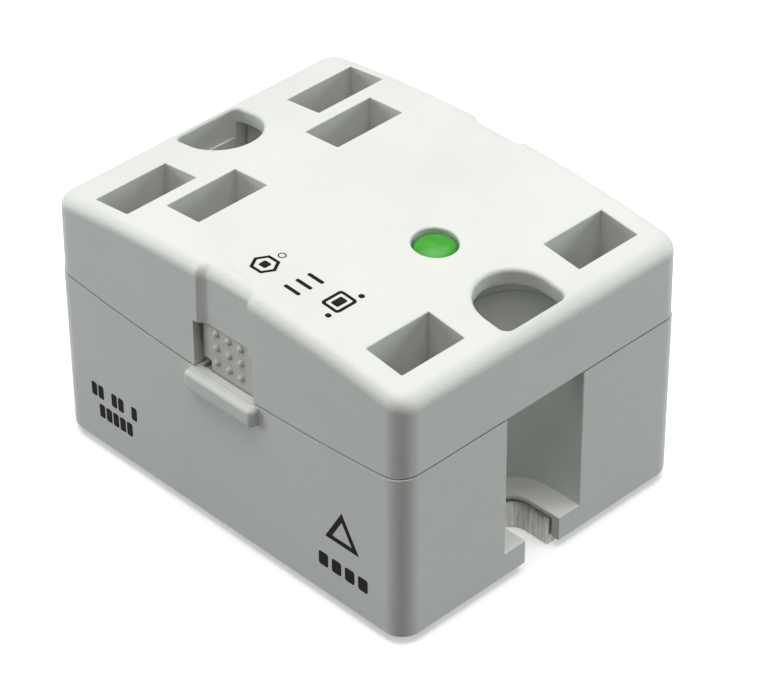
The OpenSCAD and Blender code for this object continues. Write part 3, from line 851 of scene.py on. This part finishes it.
def makeCover(s):
    form = coverForm(s)
    for cutter in coverCutters(s):
        cutWith(form, cutter, "DIFFERENCE")
    shell = mergedCopy("cover")
    for side in (1, -1):
        cutWith(form, grooveCutter(side, s), "DIFFERENCE")
        cutWith(shell, grooveFiller(side, s), "UNION")
    cutWith(shell, form, "INTERSECT")
    shadeByAngle(shell, 32)
    shell.name = "coverShell"
    return standIn(shell, "cover")


makeCover(coverSettings)
print("cover made")

# ---- housing, with rounded catches

housingSettings = {
    "soften": 0.13 * mm,
    "catchMiddle": 0.36 * mm,
    "catchWidth": 11.24 * mm,
    "catchTop": 21.6 * mm,
    "catchHeight": 2.6 * mm,
    "catchRadius": 0.62 * mm,
    "clear": 0.05 * mm,
}


def makeHousing(s):
    low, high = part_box("housing")
    corner = caseSettings["cornerRadius"]
    ring = halfRing(halfLength + s["clear"], halfWidth + s["clear"], corner, coverSettings)
    form = ringBlock("housingForm", [(ring, low.z - 1 * mm), (ring, high.z + 1 * mm)])
    for side in (1, -1):
        ends = sorted([side * (high.y - 0.01 * mm), side * (halfWidth - 2 * mm)])
        catch = roundBox(
            "catchForm",
            (s["catchMiddle"] - s["catchWidth"] / 2, ends[0], s["catchTop"] - s["catchHeight"]),
            (s["catchMiddle"] + s["catchWidth"] / 2, ends[1], s["catchTop"]),
            s["catchRadius"], casePlastic, 5)
        cutWith(form, catch, "UNION")
    shell = mergedCopy("housing")
    cutWith(shell, form, "INTERSECT")
    soften(shell, s["soften"], 2, leaveOut=lambda p: abs(p.y) > halfWidth - 3 * mm
           and p.z > s["catchTop"] - s["catchHeight"] - 1 * mm)
    shell.name = "housingShell"
    return standIn(shell, "housing")


makeHousing(housingSettings)
print("housing made")

# ---- press arms with their grip dots

armSettings = {
    "faceBehind": 1.0 * mm,      # from the case's side
    "thickness": 1.1 * mm,
    "hookHeight": 1.2 * mm,
    "hookLand": 0.4 * mm,
    "notch": 1.2 * mm,           # cut out of the lower left corner
    "notchLow": 21.4 * mm,
    "notchHigh": 23.1 * mm,
    "dotPitch": 2.0 * mm,
    "dotRadius": 0.46 * mm,
    "topRow": 0.75 * mm,         # below the arm's top
    "sunk": 0.06 * mm,
    "soften": 0.08 * mm,
}


def makeDotTree():
    # a grid of small domes standing on a face that looks along Y
    tree, given, result = newShapeTree(
        "gripDots", Float=["Pitch", "Dot Radius"], Vector=["Middle"], Material=["Material"])
    link = tree.links.new
    span = addNode(tree, "ShaderNodeMath", operation="MULTIPLY")
    span.inputs[1].default_value = 2.0
    link(given.outputs["Pitch"], span.inputs[0])
    grid = tree.nodes.new("GeometryNodeMeshGrid")
    grid.inputs["Vertices X"].default_value = 3
    grid.inputs["Vertices Y"].default_value = 3
    link(span.outputs[0], grid.inputs["Size X"])
    link(span.outputs[0], grid.inputs["Size Y"])
    stand = tree.nodes.new("GeometryNodeTransform")
    stand.inputs["Rotation"].default_value = (pi / 2, 0, 0)
    link(grid.outputs["Mesh"], stand.inputs["Geometry"])
    link(given.outputs["Middle"], stand.inputs["Translation"])
    dot = tree.nodes.new("GeometryNodeMeshUVSphere")
    dot.inputs["Segments"].default_value = 20
    dot.inputs["Rings"].default_value = 12
    link(given.outputs["Dot Radius"], dot.inputs["Radius"])
    spread = tree.nodes.new("GeometryNodeInstanceOnPoints")
    link(stand.outputs[0], spread.inputs["Points"])
    link(dot.outputs["Mesh"], spread.inputs["Instance"])
    both = tree.nodes.new("GeometryNodeJoinGeometry")
    link(spread.outputs[0], both.inputs[0])
    link(given.outputs["Geometry"], both.inputs[0])
    link(realizeAndDress(tree, both.outputs[0], given.outputs["Material"]), result.inputs["Geometry"])
    return tree


dotTree = makeDotTree()


def makeArm(node, side, s):
    low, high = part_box(node)
    face = -halfWidth + s["faceBehind"]
    back = face + s["thickness"]
    r = s["thickness"] / 2
    hook = -max(abs(low.y), abs(high.y))
    hookTop = low.z + s["hookHeight"]
    profile = [(back, low.z)] + [((face + back) / 2 + r * cos(a), high.z - r + r * sin(a))
                                 for a in [pi * i / 12 for i in range(13)]]
    profile += [(face, hookTop), (hook, hookTop), (hook, hookTop - s["hookLand"]), (face, low.z)]
    # the arm and its dots take the darker copy of the case plastic, which is painted shade
    arm = loft(node + "Form", alongX([(side * y, z) for y, z in profile], low.x, high.x), armShadedPlastic)
    notchEnds = sorted([side * (face - 1 * mm), side * (back + 1 * mm)])
    notch = roundBox(
        "notchForm", (low.x - 1 * mm, notchEnds[0], s["notchLow"]),
        (low.x + s["notch"], notchEnds[1], s["notchHigh"]), 0.15 * mm, armShadedPlastic)
    cutWith(arm, notch, "DIFFERENCE")
    soften(arm, s["soften"], 2)
    middle = ((low.x + high.x) / 2, side * (face + s["sunk"]), high.z - s["topRow"] - s["dotPitch"])
    runTree(arm, dotTree, {
        "Pitch": s["dotPitch"], "Dot Radius": s["dotRadius"], "Middle": middle, "Material": armShadedPlastic})
    shadeByAngle(arm)
    arm.name = node + "Piece"
    return standIn(arm, node)


makeArm("front_latch_arm", 1, armSettings)
makeArm("rear_latch_arm", -1, armSettings)
print("press arms made")

# ---- status light

tipRadius = 0.02 * mm            # where a lathed end closes on its axis
lensSettings = {
    "flange": 0.4 * mm,
    "flangeHeight": 1.0 * mm,
    "dome": 0.85 * mm,
    "radius": 2.46 * mm,
    "steps": 12,
}


def makeLight(s):
    low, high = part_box("status_led")
    middle = (low + high) / 2
    r, dome = s["radius"], s["dome"]
    profile = [(tipRadius, low.z), (r + s["flange"] - 0.1 * mm, low.z), (r + s["flange"], low.z + 0.1 * mm),
               (r + s["flange"], low.z + s["flangeHeight"]), (r, low.z + s["flangeHeight"])]
    for k in range(s["steps"]):
        a = pi / 2 * k / s["steps"]
        profile.append((r * cos(a), high.z - dome + dome * sin(a)))
    profile.append((tipRadius, high.z))
    lens = lathe("statusLight", profile, (middle.x, middle.y, 0), steps=64, material=lensGreen)
    return standIn(shadeByAngle(lens, 50), "status_led")


makeLight(lensSettings)
print("light made")

# ---- printed marks: plain shapes, thin as ink

markSettings = {
    "thick": 0.02 * mm,
    "buried": 0.05 * mm,
    "ringMiddle": (1.5 * mm, -16.6 * mm),
    "barsMiddle": (7.1 * mm, -16.0 * mm),
    "blockMiddle": (11.9 * mm, -15.3 * mm),
    "codeLeft": -23.4 * mm,
    "codeRows": ((8.8 * mm, "11011010", 1.18 * mm), (6.05 * mm, "0111110", 1.22 * mm)),
    "codeHeight": 1.9 * mm,
    "arrowMiddle": (19.2 * mm, 11.2 * mm),
    "arrowSize": 3.1 * mm,
    "lineMiddle": (19.3 * mm, 6.0 * mm),
}


def ringShape(x, y, r, width, sides=40):
    last = 2 * pi * (sides - 1) / sides
    return [arcPoints(x, y, edge, 0, last, sides - 1) for edge in (r, r - width)]


def inkSolid(name, outer, inner, low, high):
    # a flat shape, with a hole of as many points if inner is given
    if inner is None:
        return prism(name, outer, low, high, printInk)
    count = len(outer)
    rings = [(outer, low), (outer, high), (inner, high), (inner, low)]
    points = [(x, y, z) for ring, z in rings for x, y in ring]
    faces = []
    for k in range(4):
        a, b = k * count, (k + 1) % 4 * count
        faces += [(a + i, a + (i + 1) % count, b + (i + 1) % count, b + i) for i in range(count)]
    return faceOut(meshOf(name, points, faces, printInk))


def roundedMark(x, y, l, w, r):
    # a rounded rectangle, its size in millimetres
    return roundedRect(x, y, l * mm, w * mm, r * mm)


def inkAll(name, shapes, low, high):
    # each shape is an outline and its hole, or None
    return joinAll(name, [inkSolid(name + "Shape", outer, inner, low, high) for outer, inner in shapes])


def makeTopMarks(s):
    x, y = s["ringMiddle"]
    shapes = [[arcPoints(x, y, r, 0, 10 * pi / 6, 5) for r in (1.75 * mm, 1.3 * mm)],
              (roundedMark(x, y, 1.1, 1.1, 0.2), None),
              ringShape(x + 0.1 * mm, y + 2.5 * mm, 0.5 * mm, 0.14 * mm, 24)]
    x, y = s["barsMiddle"]
    shapes += [(roundedMark(x + step * 0.12 * mm, y + step * 1.65 * mm, 2.4, 0.5, 0.2), None)
               for step in (-1, 0, 1)]
    x, y = s["blockMiddle"]
    shapes += [(roundedMark(x, y, 2.7, 3.2, 0.45), roundedMark(x, y, 1.9, 2.4, 0.2)),
               (roundedMark(x, y, 1.1, 1.6, 0.15), None)]
    shapes += [(roundedMark(x + 0.9 * mm, y + step * 2.5 * mm, 0.7, 0.7, 0.3), None) for step in (-1, 1)]
    marks = inkAll("topMarks", shapes, flatTop - s["buried"], flatTop + s["thick"])
    crown(marks, printInk)
    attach(marks, bodyOf["cover"])


def makeSideMarks(s):
    # drawn flat in X and Z, then stood up on the front side
    shapes = []
    for z, pattern, pitch in s["codeRows"]:
        for index, filled in enumerate(pattern):
            if filled == "1":
                x = s["codeLeft"] + (index + 0.5) * pitch
                shapes.append((roundedRect(x, z, 0.8 * pitch, s["codeHeight"], 0.25 * mm), None))
    x, z = s["arrowMiddle"]
    sizes = (s["arrowSize"], s["arrowSize"] - 1.3 * mm)
    shapes.append([arcPoints(x, z, r, -pi / 6, 7 * pi / 6, 2) for r in sizes])
    x, z = s["lineMiddle"]
    shapes += [(roundedMark(x + step * 1.05 * mm, z, 1.5, 1.9, 0.3), None) for step in (-3, -1, 1, 3)]
    marks = inkAll("sideMarks", shapes, -s["buried"], s["thick"])
    marks.data.transform(Matrix.Translation((0, -halfWidth, 0)) @ Matrix.Rotation(pi / 2, 4, "X"))
    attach(marks, bodyOf["housing"])


makeTopMarks(markSettings)
makeSideMarks(markSettings)
print("marks made")

# ---- metalwork and power stack, softened from their solids

softWidths = {                   # in millimetres
    "base_plate": 0.2, "load_terminal_front": 0.1, "load_terminal_rear": 0.1,
    "control_terminal_front": 0.1, "control_terminal_rear": 0.1,
    "substrate_solder": 0.04, "ceramic_substrate": 0.08, "copper_tracks": 0.06,
    "thyristor_front": 0.05, "thyristor_rear": 0.05, "thyristor_clips": 0.08,
    "gate_pins": 0.05, "led_spacer": 0.12, "led_leads": 0.05,
}


def makeSoftened(widths):
    for node, width in widths.items():
        piece = soften(mergedCopy(node), width * mm)
        piece.name = node + "Piece"
        standIn(piece, node)


makeSoftened(softWidths)
gel = shadeByAngle(mergedCopy("potting_gel"))
gel.name = "gelFill"
standIn(gel, "potting_gel")
print("metalwork made")

# ---- circuit board and its parts

boardSettings = {
    "soften": 0.06 * mm,
    "viaPitch": 2.54 * mm,
    "viaRadius": 0.42 * mm,
    "viaThick": 0.05 * mm,
    "columns": 10,
    "rows": 13,
    "gridMiddle": 12.7 * mm,     # from the board's left edge
    "seed": 11,
    "share": 0.34,
}


def makeViaTree():
    # tinned pads on a grid over the board's face, some of them left out
    tree, given, result = newShapeTree(
        "boardPads", Float=["Length", "Width", "Pad Radius", "Pad Height", "Share"],
        Int=["Columns", "Rows", "Seed"], Vector=["Middle"], Material=["Pad Material"])
    link = tree.links.new
    grid = tree.nodes.new("GeometryNodeMeshGrid")
    gridInputs = {"Size X": "Length", "Size Y": "Width", "Vertices X": "Columns", "Vertices Y": "Rows"}
    for socket, label in gridInputs.items():
        link(given.outputs[label], grid.inputs[socket])
    place = tree.nodes.new("GeometryNodeTransform")
    link(grid.outputs["Mesh"], place.inputs["Geometry"])
    link(given.outputs["Middle"], place.inputs["Translation"])
    chance = addNode(tree, "FunctionNodeRandomValue", data_type="FLOAT")
    link(given.outputs["Seed"], chance.inputs["Seed"])
    kept = addNode(tree, "FunctionNodeCompare", data_type="FLOAT", operation="LESS_THAN")
    link(chance.outputs[1], kept.inputs[0])
    link(given.outputs["Share"], kept.inputs[1])
    pad = tree.nodes.new("GeometryNodeMeshCylinder")
    pad.inputs["Vertices"].default_value = 16
    link(given.outputs["Pad Radius"], pad.inputs["Radius"])
    link(given.outputs["Pad Height"], pad.inputs["Depth"])
    spread = tree.nodes.new("GeometryNodeInstanceOnPoints")
    link(place.outputs[0], spread.inputs["Points"])
    link(kept.outputs[0], spread.inputs["Selection"])
    link(pad.outputs["Mesh"], spread.inputs["Instance"])
    pads = realizeAndDress(tree, spread.outputs[0], given.outputs["Pad Material"])
    both = tree.nodes.new("GeometryNodeJoinGeometry")
    link(pads, both.inputs[0])
    link(given.outputs["Geometry"], both.inputs[0])
    link(both.outputs[0], result.inputs["Geometry"])
    return tree


def makeBoard(s):
    low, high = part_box("circuit_board")
    board = soften(mergedCopy("circuit_board"), s["soften"])
    runTree(board, makeViaTree(), {
        "Length": (s["columns"] - 1) * s["viaPitch"], "Width": (s["rows"] - 1) * s["viaPitch"],
        "Columns": s["columns"], "Rows": s["rows"], "Seed": s["seed"], "Share": s["share"],
        "Pad Radius": s["viaRadius"], "Pad Height": high.z - low.z + s["viaThick"],
        "Middle": (low.x + s["gridMiddle"], 0, (low.z + high.z) / 2), "Pad Material": tinnedMetal})
    board.name = "boardPiece"
    return standIn(shadeByAngle(board), "circuit_board")


def bandedLacquer(name, base, bands, middle, length):
    # colour rings round a resistor that lies along X
    material, tree, shader, place = startMaterial(name, Roughness=0.3)
    shift = addNode(tree, "ShaderNodeMapping")
    shift.inputs["Location"].default_value = (-middle / length + 0.5, 0, 0)
    shift.inputs["Scale"].default_value = (1 / length, 1 / length, 1 / length)
    tree.links.new(place, shift.inputs["Vector"])
    axes = tree.nodes.new("ShaderNodeSeparateXYZ")
    tree.links.new(shift.outputs[0], axes.inputs[0])
    ramp = tree.nodes.new("ShaderNodeValToRGB")
    ramp.color_ramp.interpolation = "CONSTANT"
    stops = [(0.0, base)]
    for k, colour in enumerate(bands):
        stops += [(0.24 + 0.14 * k, colour), (0.31 + 0.14 * k, base)]
    ramp.color_ramp.elements[0].color = (*base, 1)
    ramp.color_ramp.elements[1].position = stops[1][0]
    ramp.color_ramp.elements[1].color = (*stops[1][1], 1)
    for position, colour in stops[2:]:
        ramp.color_ramp.elements.new(position).color = (*colour, 1)
    tree.links.new(axes.outputs["X"], ramp.inputs["Fac"])
    grain = noiseAt(tree, place, 1800.0)
    grainedColour(tree, shader, ramp.outputs["Color"], grain.outputs["Color"], 0.3)
    addBump(tree, shader, grain.outputs["Fac"], 0.00001)
    return material


resistorSettings = {             # lengths in millimetres
    "input_resistor": {"length": 7.0, "radius": 1.3, "rows": (0,), "base": (0.30, 0.52, 0.66),
                       "bands": ((0.25, 0.06, 0.02), (0.02, 0.02, 0.02), (0.45, 0.02, 0.02))},
    "gate_resistors": {"length": 4.0, "radius": 0.9, "rows": (-1.5, 1.5), "base": (0.62, 0.47, 0.28),
                       "bands": ((0.5, 0.16, 0.01), (0.5, 0.16, 0.01), (0.22, 0.05, 0.02))},
}
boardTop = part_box("circuit_board")[1].z
leadOut, leadRadius, leadDown = 1.4 * mm, 0.29 * mm, 0.48 * mm


def makeResistor(name, middle, s):
    length, r = s["length"] * mm, s["radius"] * mm
    lacquer = bandedLacquer(name + "Lacquer", s["base"], s["bands"], middle.x, length)
    axis = boardTop + r + 0.3 * mm
    half, waist = length / 2, 0.86 * r
    profile = [(0.3 * mm, -half), (0.6 * r, -half + 0.02 * mm), (0.9 * r, -half + 0.06 * length),
               (r, -half + 0.12 * length), (0.96 * r, -half + 0.2 * length), (waist, -half + 0.27 * length)]
    profile += [(rr, -h) for rr, h in reversed(profile)]
    body = lathe(name + "Body", profile, (middle.x, middle.y, axis), "X", 28, lacquer)
    parts = [body]
    for side in (-1, 1):
        start, end = middle.x + side * (half - 0.2 * mm), middle.x + side * (half + leadOut)
        path = bendPath((start, middle.y, axis), (end, middle.y, axis), (end, middle.y, boardTop - leadDown),
                        0.5 * mm)
        parts.append(tube(name + "Lead", path, leadRadius, tinnedMetal))
        parts.append(padFillet((end, middle.y, boardTop), leadRadius))
    return parts


def leadWithFillet(name, x, y, top, bottom, r, filletRadius):
    # a straight lead into the board, and the solder round it
    wire = tube(name, [(x, y, top), (x, y, bottom - 0.5 * mm)], r, tinnedMetal)
    return [wire, padFillet((x, y, bottom), filletRadius)]


def padFillet(place, r, down=False):
    # concave cone of solder round a wire
    sign = -1 if down else 1
    profile = [(2.3 * r, 0), (2.3 * r, 0.06 * mm * sign), (1.75 * r, 0.16 * mm * sign),
               (1.35 * r, 0.34 * mm * sign), (0.9 * r, 0.62 * mm * sign), (0.3 * r, 0.64 * mm * sign)]
    return lathe("padFillet", profile, place, "Z", 20, solderMetal)


def makeResistors(settings):
    for node, s in settings.items():
        middle = middleOf(node)
        parts = []
        for index, row in enumerate(s["rows"]):
            parts += makeResistor(node + str(index), middle + Vector((0, row * mm, 0)), s)
        standIn(joinAll(node + "Piece", parts), node)


capacitorSettings = {
    "radius": 0.8 * mm,
    "leadPitch": 7.5 * mm,
    "crimp": 0.5 * mm,
    # radius and height pairs of the dip that runs down each lead
    "meniscus": [(0.3 * mm, 1.4 * mm), (0.95 * mm, 1.2 * mm), (0.7 * mm, 0.7 * mm),
                 (0.42 * mm, 0.25 * mm), (0.3 * mm, 0.2 * mm)],
}


def makeCapacitor(s):
    low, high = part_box("snubber_capacitor")
    middle = (low + high) / 2
    foot = (low.x, low.y, low.z + s["crimp"])
    body = roundBox("capacitorBody", foot, (high.x, high.y, high.z), s["radius"], dippedRed, 5)
    parts = [body]
    for side in (-1, 1):
        x = middle.x + side * s["leadPitch"] / 2
        parts.append(lathe("capacitorMeniscus", s["meniscus"], (x, middle.y, low.z), "Z", 20, dippedRed))
        parts += leadWithFillet("capacitorLead", x, middle.y, low.z + 1 * mm, low.z, leadRadius, leadRadius)
    standIn(joinAll("snubberCapacitor", parts), "snubber_capacitor")


varistorSettings = {
    "radius": 4.6 * mm,
    "thick": 3.4 * mm,
    "rim": 1.2 * mm,
    "leadPitch": 5.0 * mm,
    "leadSplay": 0.5 * mm,
    "meniscus": [(0.3 * mm, 2.6 * mm), (1.0 * mm, 2.3 * mm), (0.75 * mm, 1.4 * mm),
                 (0.42 * mm, 0.6 * mm), (0.3 * mm, 0.5 * mm)],
}


def makeVaristor(s):
    low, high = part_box("varistor")
    middle = (low + high) / 2
    r, half, rim = s["radius"], s["thick"] / 2, s["rim"]
    centre = (middle.x, middle.y, high.z - r)
    rimPoints = [(r - rim + rim * sin(a), half - rim + rim * cos(a))
                 for a in [pi / 2 * i / 6 for i in range(7)]]
    profile = [(tipRadius, -half)] + [(pr, -h) for pr, h in rimPoints] + list(reversed(rimPoints))
    profile += [(tipRadius, half)]
    parts = [lathe("varistorDisc", profile, centre, "Y", 48, dippedBlue)]
    for side in (-1, 1):
        x = middle.x + side * s["leadPitch"] / 2
        y = middle.y + side * s["leadSplay"]
        parts.append(lathe("varistorMeniscus", s["meniscus"], (x, y, boardTop), "Z", 20, dippedBlue))
        parts += leadWithFillet("varistorLead", x, y, boardTop + 2 * mm, boardTop, leadRadius, leadRadius)
    standIn(joinAll("varistorPiece", parts), "varistor")


optoSettings = {
    "width": 6.4 * mm,
    "standOff": 0.5 * mm,
    "draft": 0.25 * mm,
    "legPitch": 2.54 * mm,
    "legWidth": 0.9 * mm,
    "legTip": 0.5 * mm,
    "legThick": 0.26 * mm,
    "legOut": 0.75 * mm,
    "dot": [(tipRadius, 0.02 * mm), (0.45 * mm, 0.02 * mm), (0.55 * mm, -0.3 * mm), (tipRadius, -0.3 * mm)],
}


def stripLeg(x, y, side, s, top):
    # leg that leaves the body flat, bends down and narrows at the board
    half, bend, wide, tip = s["legThick"] / 2, 0.3 * mm, s["legWidth"], s["legTip"]
    outer = y + side * s["legOut"]
    rows = [(y - side * bend, top, wide), (outer - side * bend, top, wide), (outer, top - bend, wide),
            (outer, boardTop + 0.9 * mm, wide), (outer, boardTop + 0.6 * mm, tip),
            (outer, boardTop - 0.5 * mm, tip)]
    rings = []
    for k, (py, pz, width) in enumerate(rows):
        dy, dz = (0, half) if k == 0 else (side * half, 0)
        if k in (1, 2):  # either side of the bend
            dy, dz = side * half * 0.7, half * 0.7
        rings.append([(x - width / 2, py - dy, pz - dz), (x + width / 2, py - dy, pz - dz),
                      (x + width / 2, py + dy, pz + dz), (x - width / 2, py + dy, pz + dz)])
    return loft("opticLeg", rings, tinnedMetal)


def makeOptocoupler(s):
    low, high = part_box("optocoupler")
    middle = (low + high) / 2
    half = s["width"] / 2
    waist = (boardTop + s["standOff"] + high.z) / 2
    length, draft = high.x - low.x, s["draft"]
    rings = []
    for z, inset in ((boardTop + s["standOff"], draft), (waist, 0), (high.z, draft)):
        rings.append([(x, y, z) for x, y in roundedRect(
            middle.x, middle.y, length - 2 * inset, 2 * half - 2 * inset, 0.25 * mm)])
    body = loft("opticBody", rings, packageWhite)
    corner = (low.x + 1.1 * mm, middle.y - half + 1.2 * mm, high.z)
    dot = lathe("opticDot", s["dot"], corner, "Z", 24, packageBlack)
    parts = [soften(body, 0.12 * mm), dot]
    for column in (-1, 0, 1):
        for side in (-1, 1):
            parts.append(stripLeg(middle.x + column * s["legPitch"], middle.y + side * half, side, s, waist))
    standIn(joinAll("optocouplerPiece", parts), "optocoupler")


transistorSettings = {
    "radius": 2.3 * mm,
    "flat": 1.5 * mm,
    "foot": 1.8 * mm,
    "swell": 2.2 * mm,           # the body is widest this far above its foot
    "pitch": 1.27 * mm,
    "leadTop": 2.2 * mm,         # above the board, inside the body's foot
    "lead": 0.22 * mm,
    "fillet": 0.2 * mm,
}


def makeTransistor(s):
    low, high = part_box("driver_transistor")
    middleX = (low.x + high.x) / 2
    axisY = high.y - s["radius"]
    start = -pi / 2 + atan2(sqrt(s["radius"] ** 2 - s["flat"] ** 2), s["flat"])
    outline = arcPoints(middleX, axisY, s["radius"], start, pi - start, 26)
    rings = []
    foot = boardTop + s["foot"]
    for z, share in ((foot, 0.96), (foot + s["swell"], 1.0), (high.z, 0.95)):
        rings.append([(middleX + (x - middleX) * share, axisY + (y - axisY) * share, z) for x, y in outline])
    parts = [soften(loft("transistorBody", rings, packageBlack), 0.15 * mm)]
    for column in (-1, 0, 1):
        x = middleX + column * s["pitch"]
        parts += leadWithFillet(
            "transistorLead", x, axisY, boardTop + s["leadTop"], boardTop, s["lead"], s["fillet"])
    standIn(joinAll("driverTransistor", parts), "driver_transistor")


def makeSolderJoints():
    low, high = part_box("gate_pins")
    pinRadius = (high.y - low.y) / 2
    parts = [padFillet((x, 0, boardTop), 1.1 * pinRadius) for x in (low.x + pinRadius, high.x - pinRadius)]
    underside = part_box("circuit_board")[0].z
    for node in ("control_terminal_front", "control_terminal_rear"):
        middle = middleOf(node)
        parts.append(padFillet((middle.x, middle.y, underside), 0.72 * mm, down=True))
    standIn(joinAll("solderFillets", parts), "solder_joints")


makeBoard(boardSettings)
makeResistors(resistorSettings)
makeCapacitor(capacitorSettings)
makeVaristor(varistorSettings)
makeOptocoupler(optoSettings)
makeTransistor(transistorSettings)
makeSolderJoints()
print("circuit board made")
